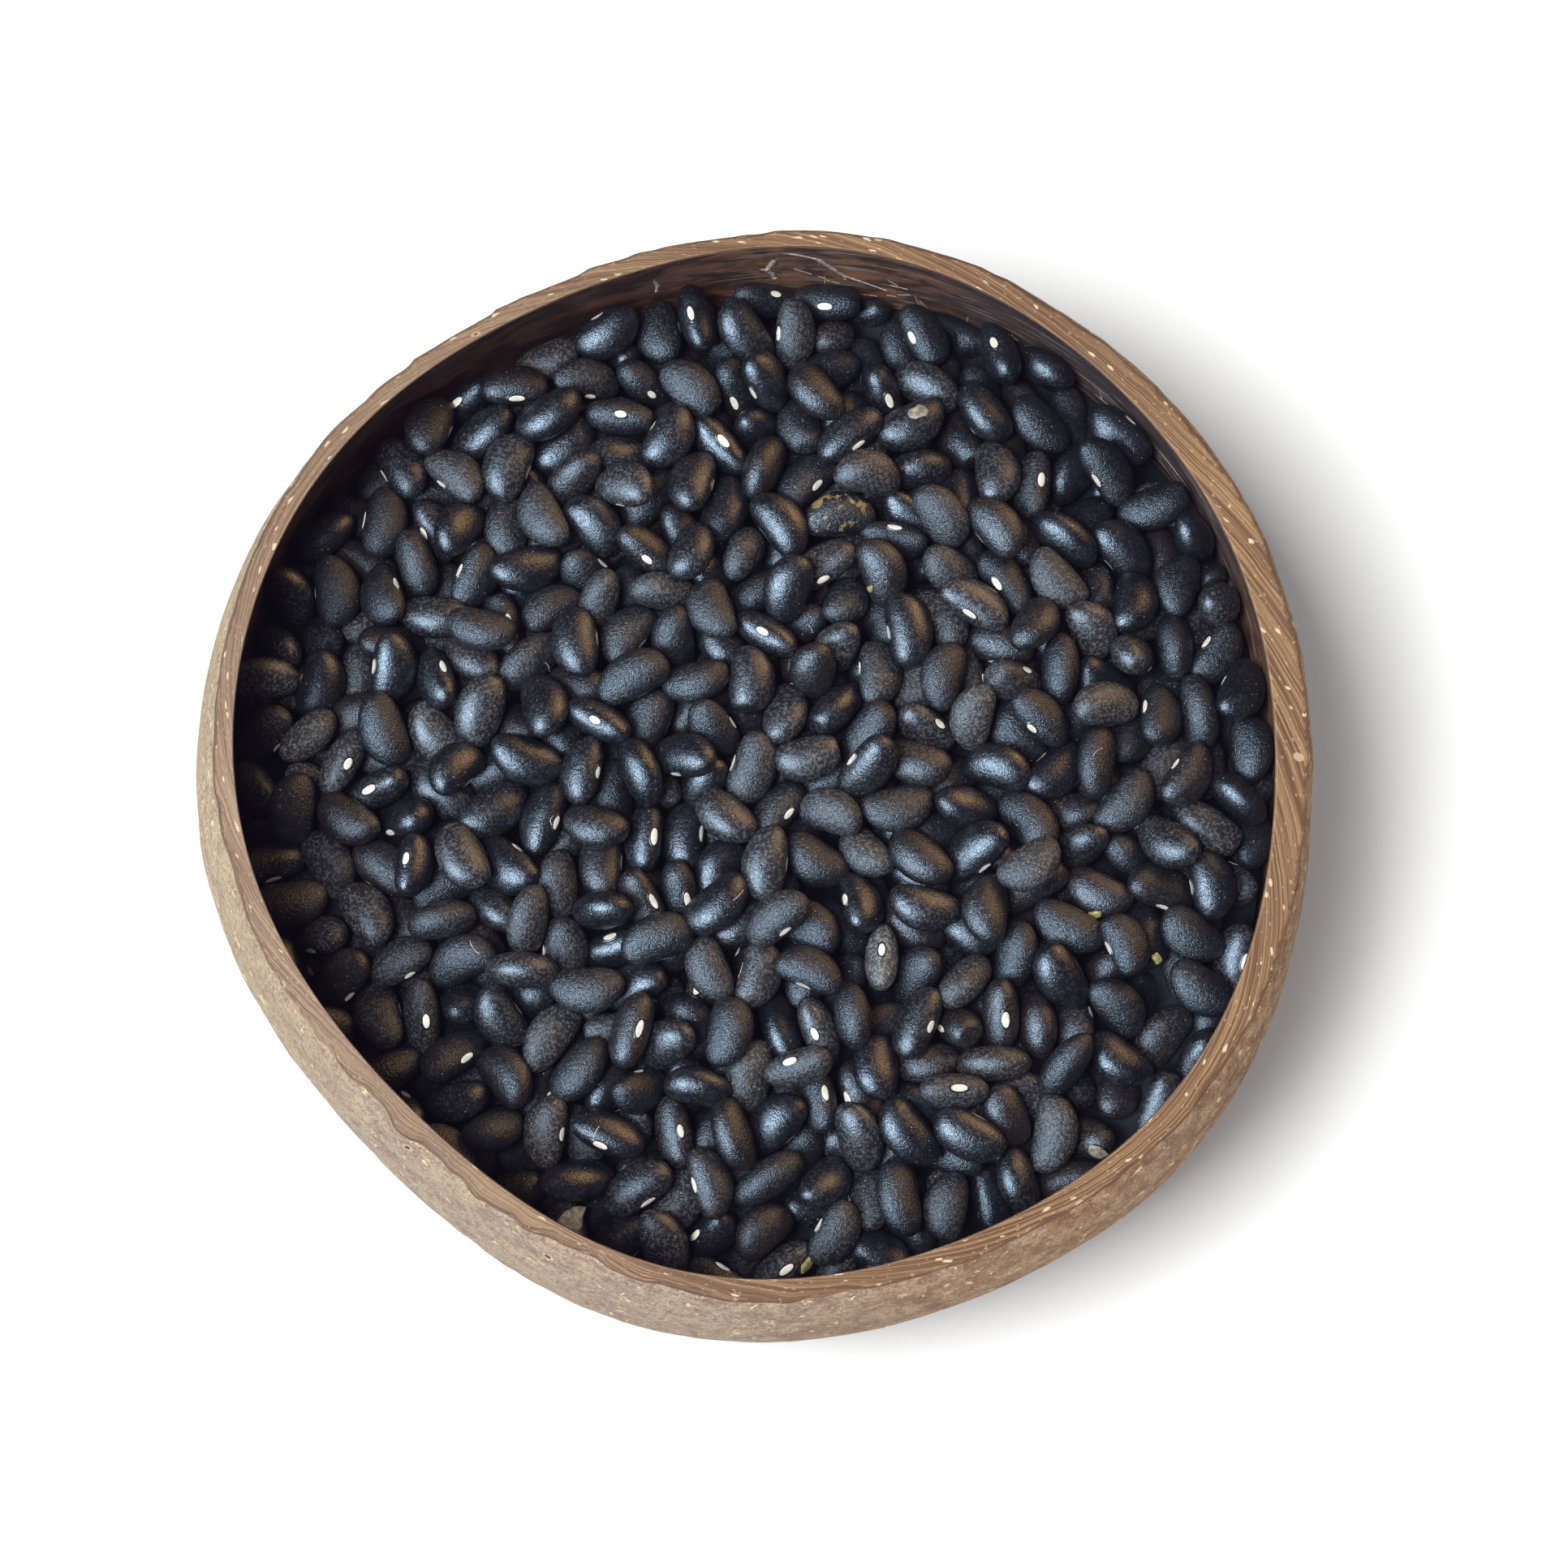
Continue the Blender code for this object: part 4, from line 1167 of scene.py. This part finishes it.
def add_light(name, position, aim, size, power, colour, seen_as):
    """An area light. One seen as diffuse lights surfaces; one seen as glossy only shines in their gloss."""
    data = bpy.data.lights.new(name, "AREA")
    data.shape = "RECTANGLE"
    data.size, data.size_y = size
    data.energy = power
    data.color = colour
    light = bpy.data.objects.new(name, data)
    light.location = position
    light.rotation_euler = (Vector(position) - Vector(aim)).to_track_quat("Z", "Y").to_euler()
    light.visible_glossy = seen_as == "glossy"
    light.visible_diffuse = seen_as == "diffuse"
    bpy.context.scene.collection.objects.link(light)
    return light


def make_studio():
    scene = bpy.context.scene
    scene.view_settings.view_transform = "Standard"
    scene.view_settings.use_curve_mapping = True
    scene.view_settings.curve_mapping.black_level = SHADOW_TINT
    scene.view_settings.curve_mapping.update()
    world = bpy.data.worlds.new("studio")
    world.use_nodes = True
    world.node_tree.nodes["Background"].inputs["Color"].default_value = WORLD_COLOUR
    world.node_tree.nodes["Background"].inputs["Strength"].default_value = WORLD_STRENGTH
    world.cycles_visibility.glossy = False
    scene.world = world
    size = FLOOR_SIZE
    corners = [(-size, -size, 0), (size, -size, 0), (size, size, 0), (-size, size, 0)]
    floor = mesh_from("floor", np.array(corners) - [0, 0, 0.05 * MM], [[0, 1, 2, 3]])
    floor.data.materials.append(Nodes("floor").finish(Base_Color=FLOOR_COLOUR, Roughness=0.9))
    for light in LIGHTS:
        add_light(*light)


# All together.


def pixel_of(points):
    """Where points fall in the photograph's frame, in its pixels."""
    camera = bpy.context.scene.camera
    inverse = np.array(camera.matrix_world.inverted())
    local = points @ inverse[:3, :3].T + inverse[:3, 3]
    focal = CAMERA_LENS / SENSOR * FRAME_PIXELS
    middle = FRAME_PIXELS / 2
    x = middle - focal * local[:, 0] / local[:, 2]
    y = middle + focal * local[:, 1] / local[:, 2]
    return np.stack([x, y], axis=1)


def main():
    make_camera()
    bpy.context.view_layer.update()
    make_studio()
    forms = BeanForms(Beans().settle())

    bowl = make_bowl([shell_outer(), shell_rim(), shell_inner()])
    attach(bowl, "root")
    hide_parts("bowl")

    marked = mark_beans(forms)
    kind = np.random.default_rng(SEED + 6).uniform(0, 1, forms.count)
    kind[marked] = 0.5
    order = np.arange(forms.count)
    kinds = [(f"beans_{name}", order[(kind >= low) & (kind < high)], bean_material(f"bean_{name}", *look))
             for name, low, high, *look in BEAN_KINDS]
    pieces = make_beans(forms, kinds)
    bpy.context.view_layer.update()
    fibre = plain_material("fibre", (0.62, 0.55, 0.50), 0.6)
    green = plain_material("crumb_green", (0.33, 0.31, 0.12), 0.6, 0.35, 1500, 0.5)
    husk = plain_material("crumb_husk", (0.26, 0.23, 0.18), 0.7, 0.5, 1100, 0.6)
    crumbs = make_crumbs(pieces, green, husk) + [make_fibres(pieces, fibre)]
    pieces.append(make_hila(forms, plain_material("hilum_pale", (0.80, 0.77, 0.69), 0.55, 0.12),
                            plain_material("hilum_rim", (0.010, 0.010, 0.011), 0.42)))
    pieces.append(make_core(plain_material("deep_shade", (0.003, 0.003, 0.004), 1.0)))
    pieces += crumbs
    veins = make_veins_and_edge_highlight(bowl, plain_material("vein_and_edge_highlight", (0.46, 0.38, 0.31), 0.6, 0.4, 2500))
    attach(veins, "root")
    for piece in pieces:
        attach(piece, "root")
        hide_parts("beans")


main()
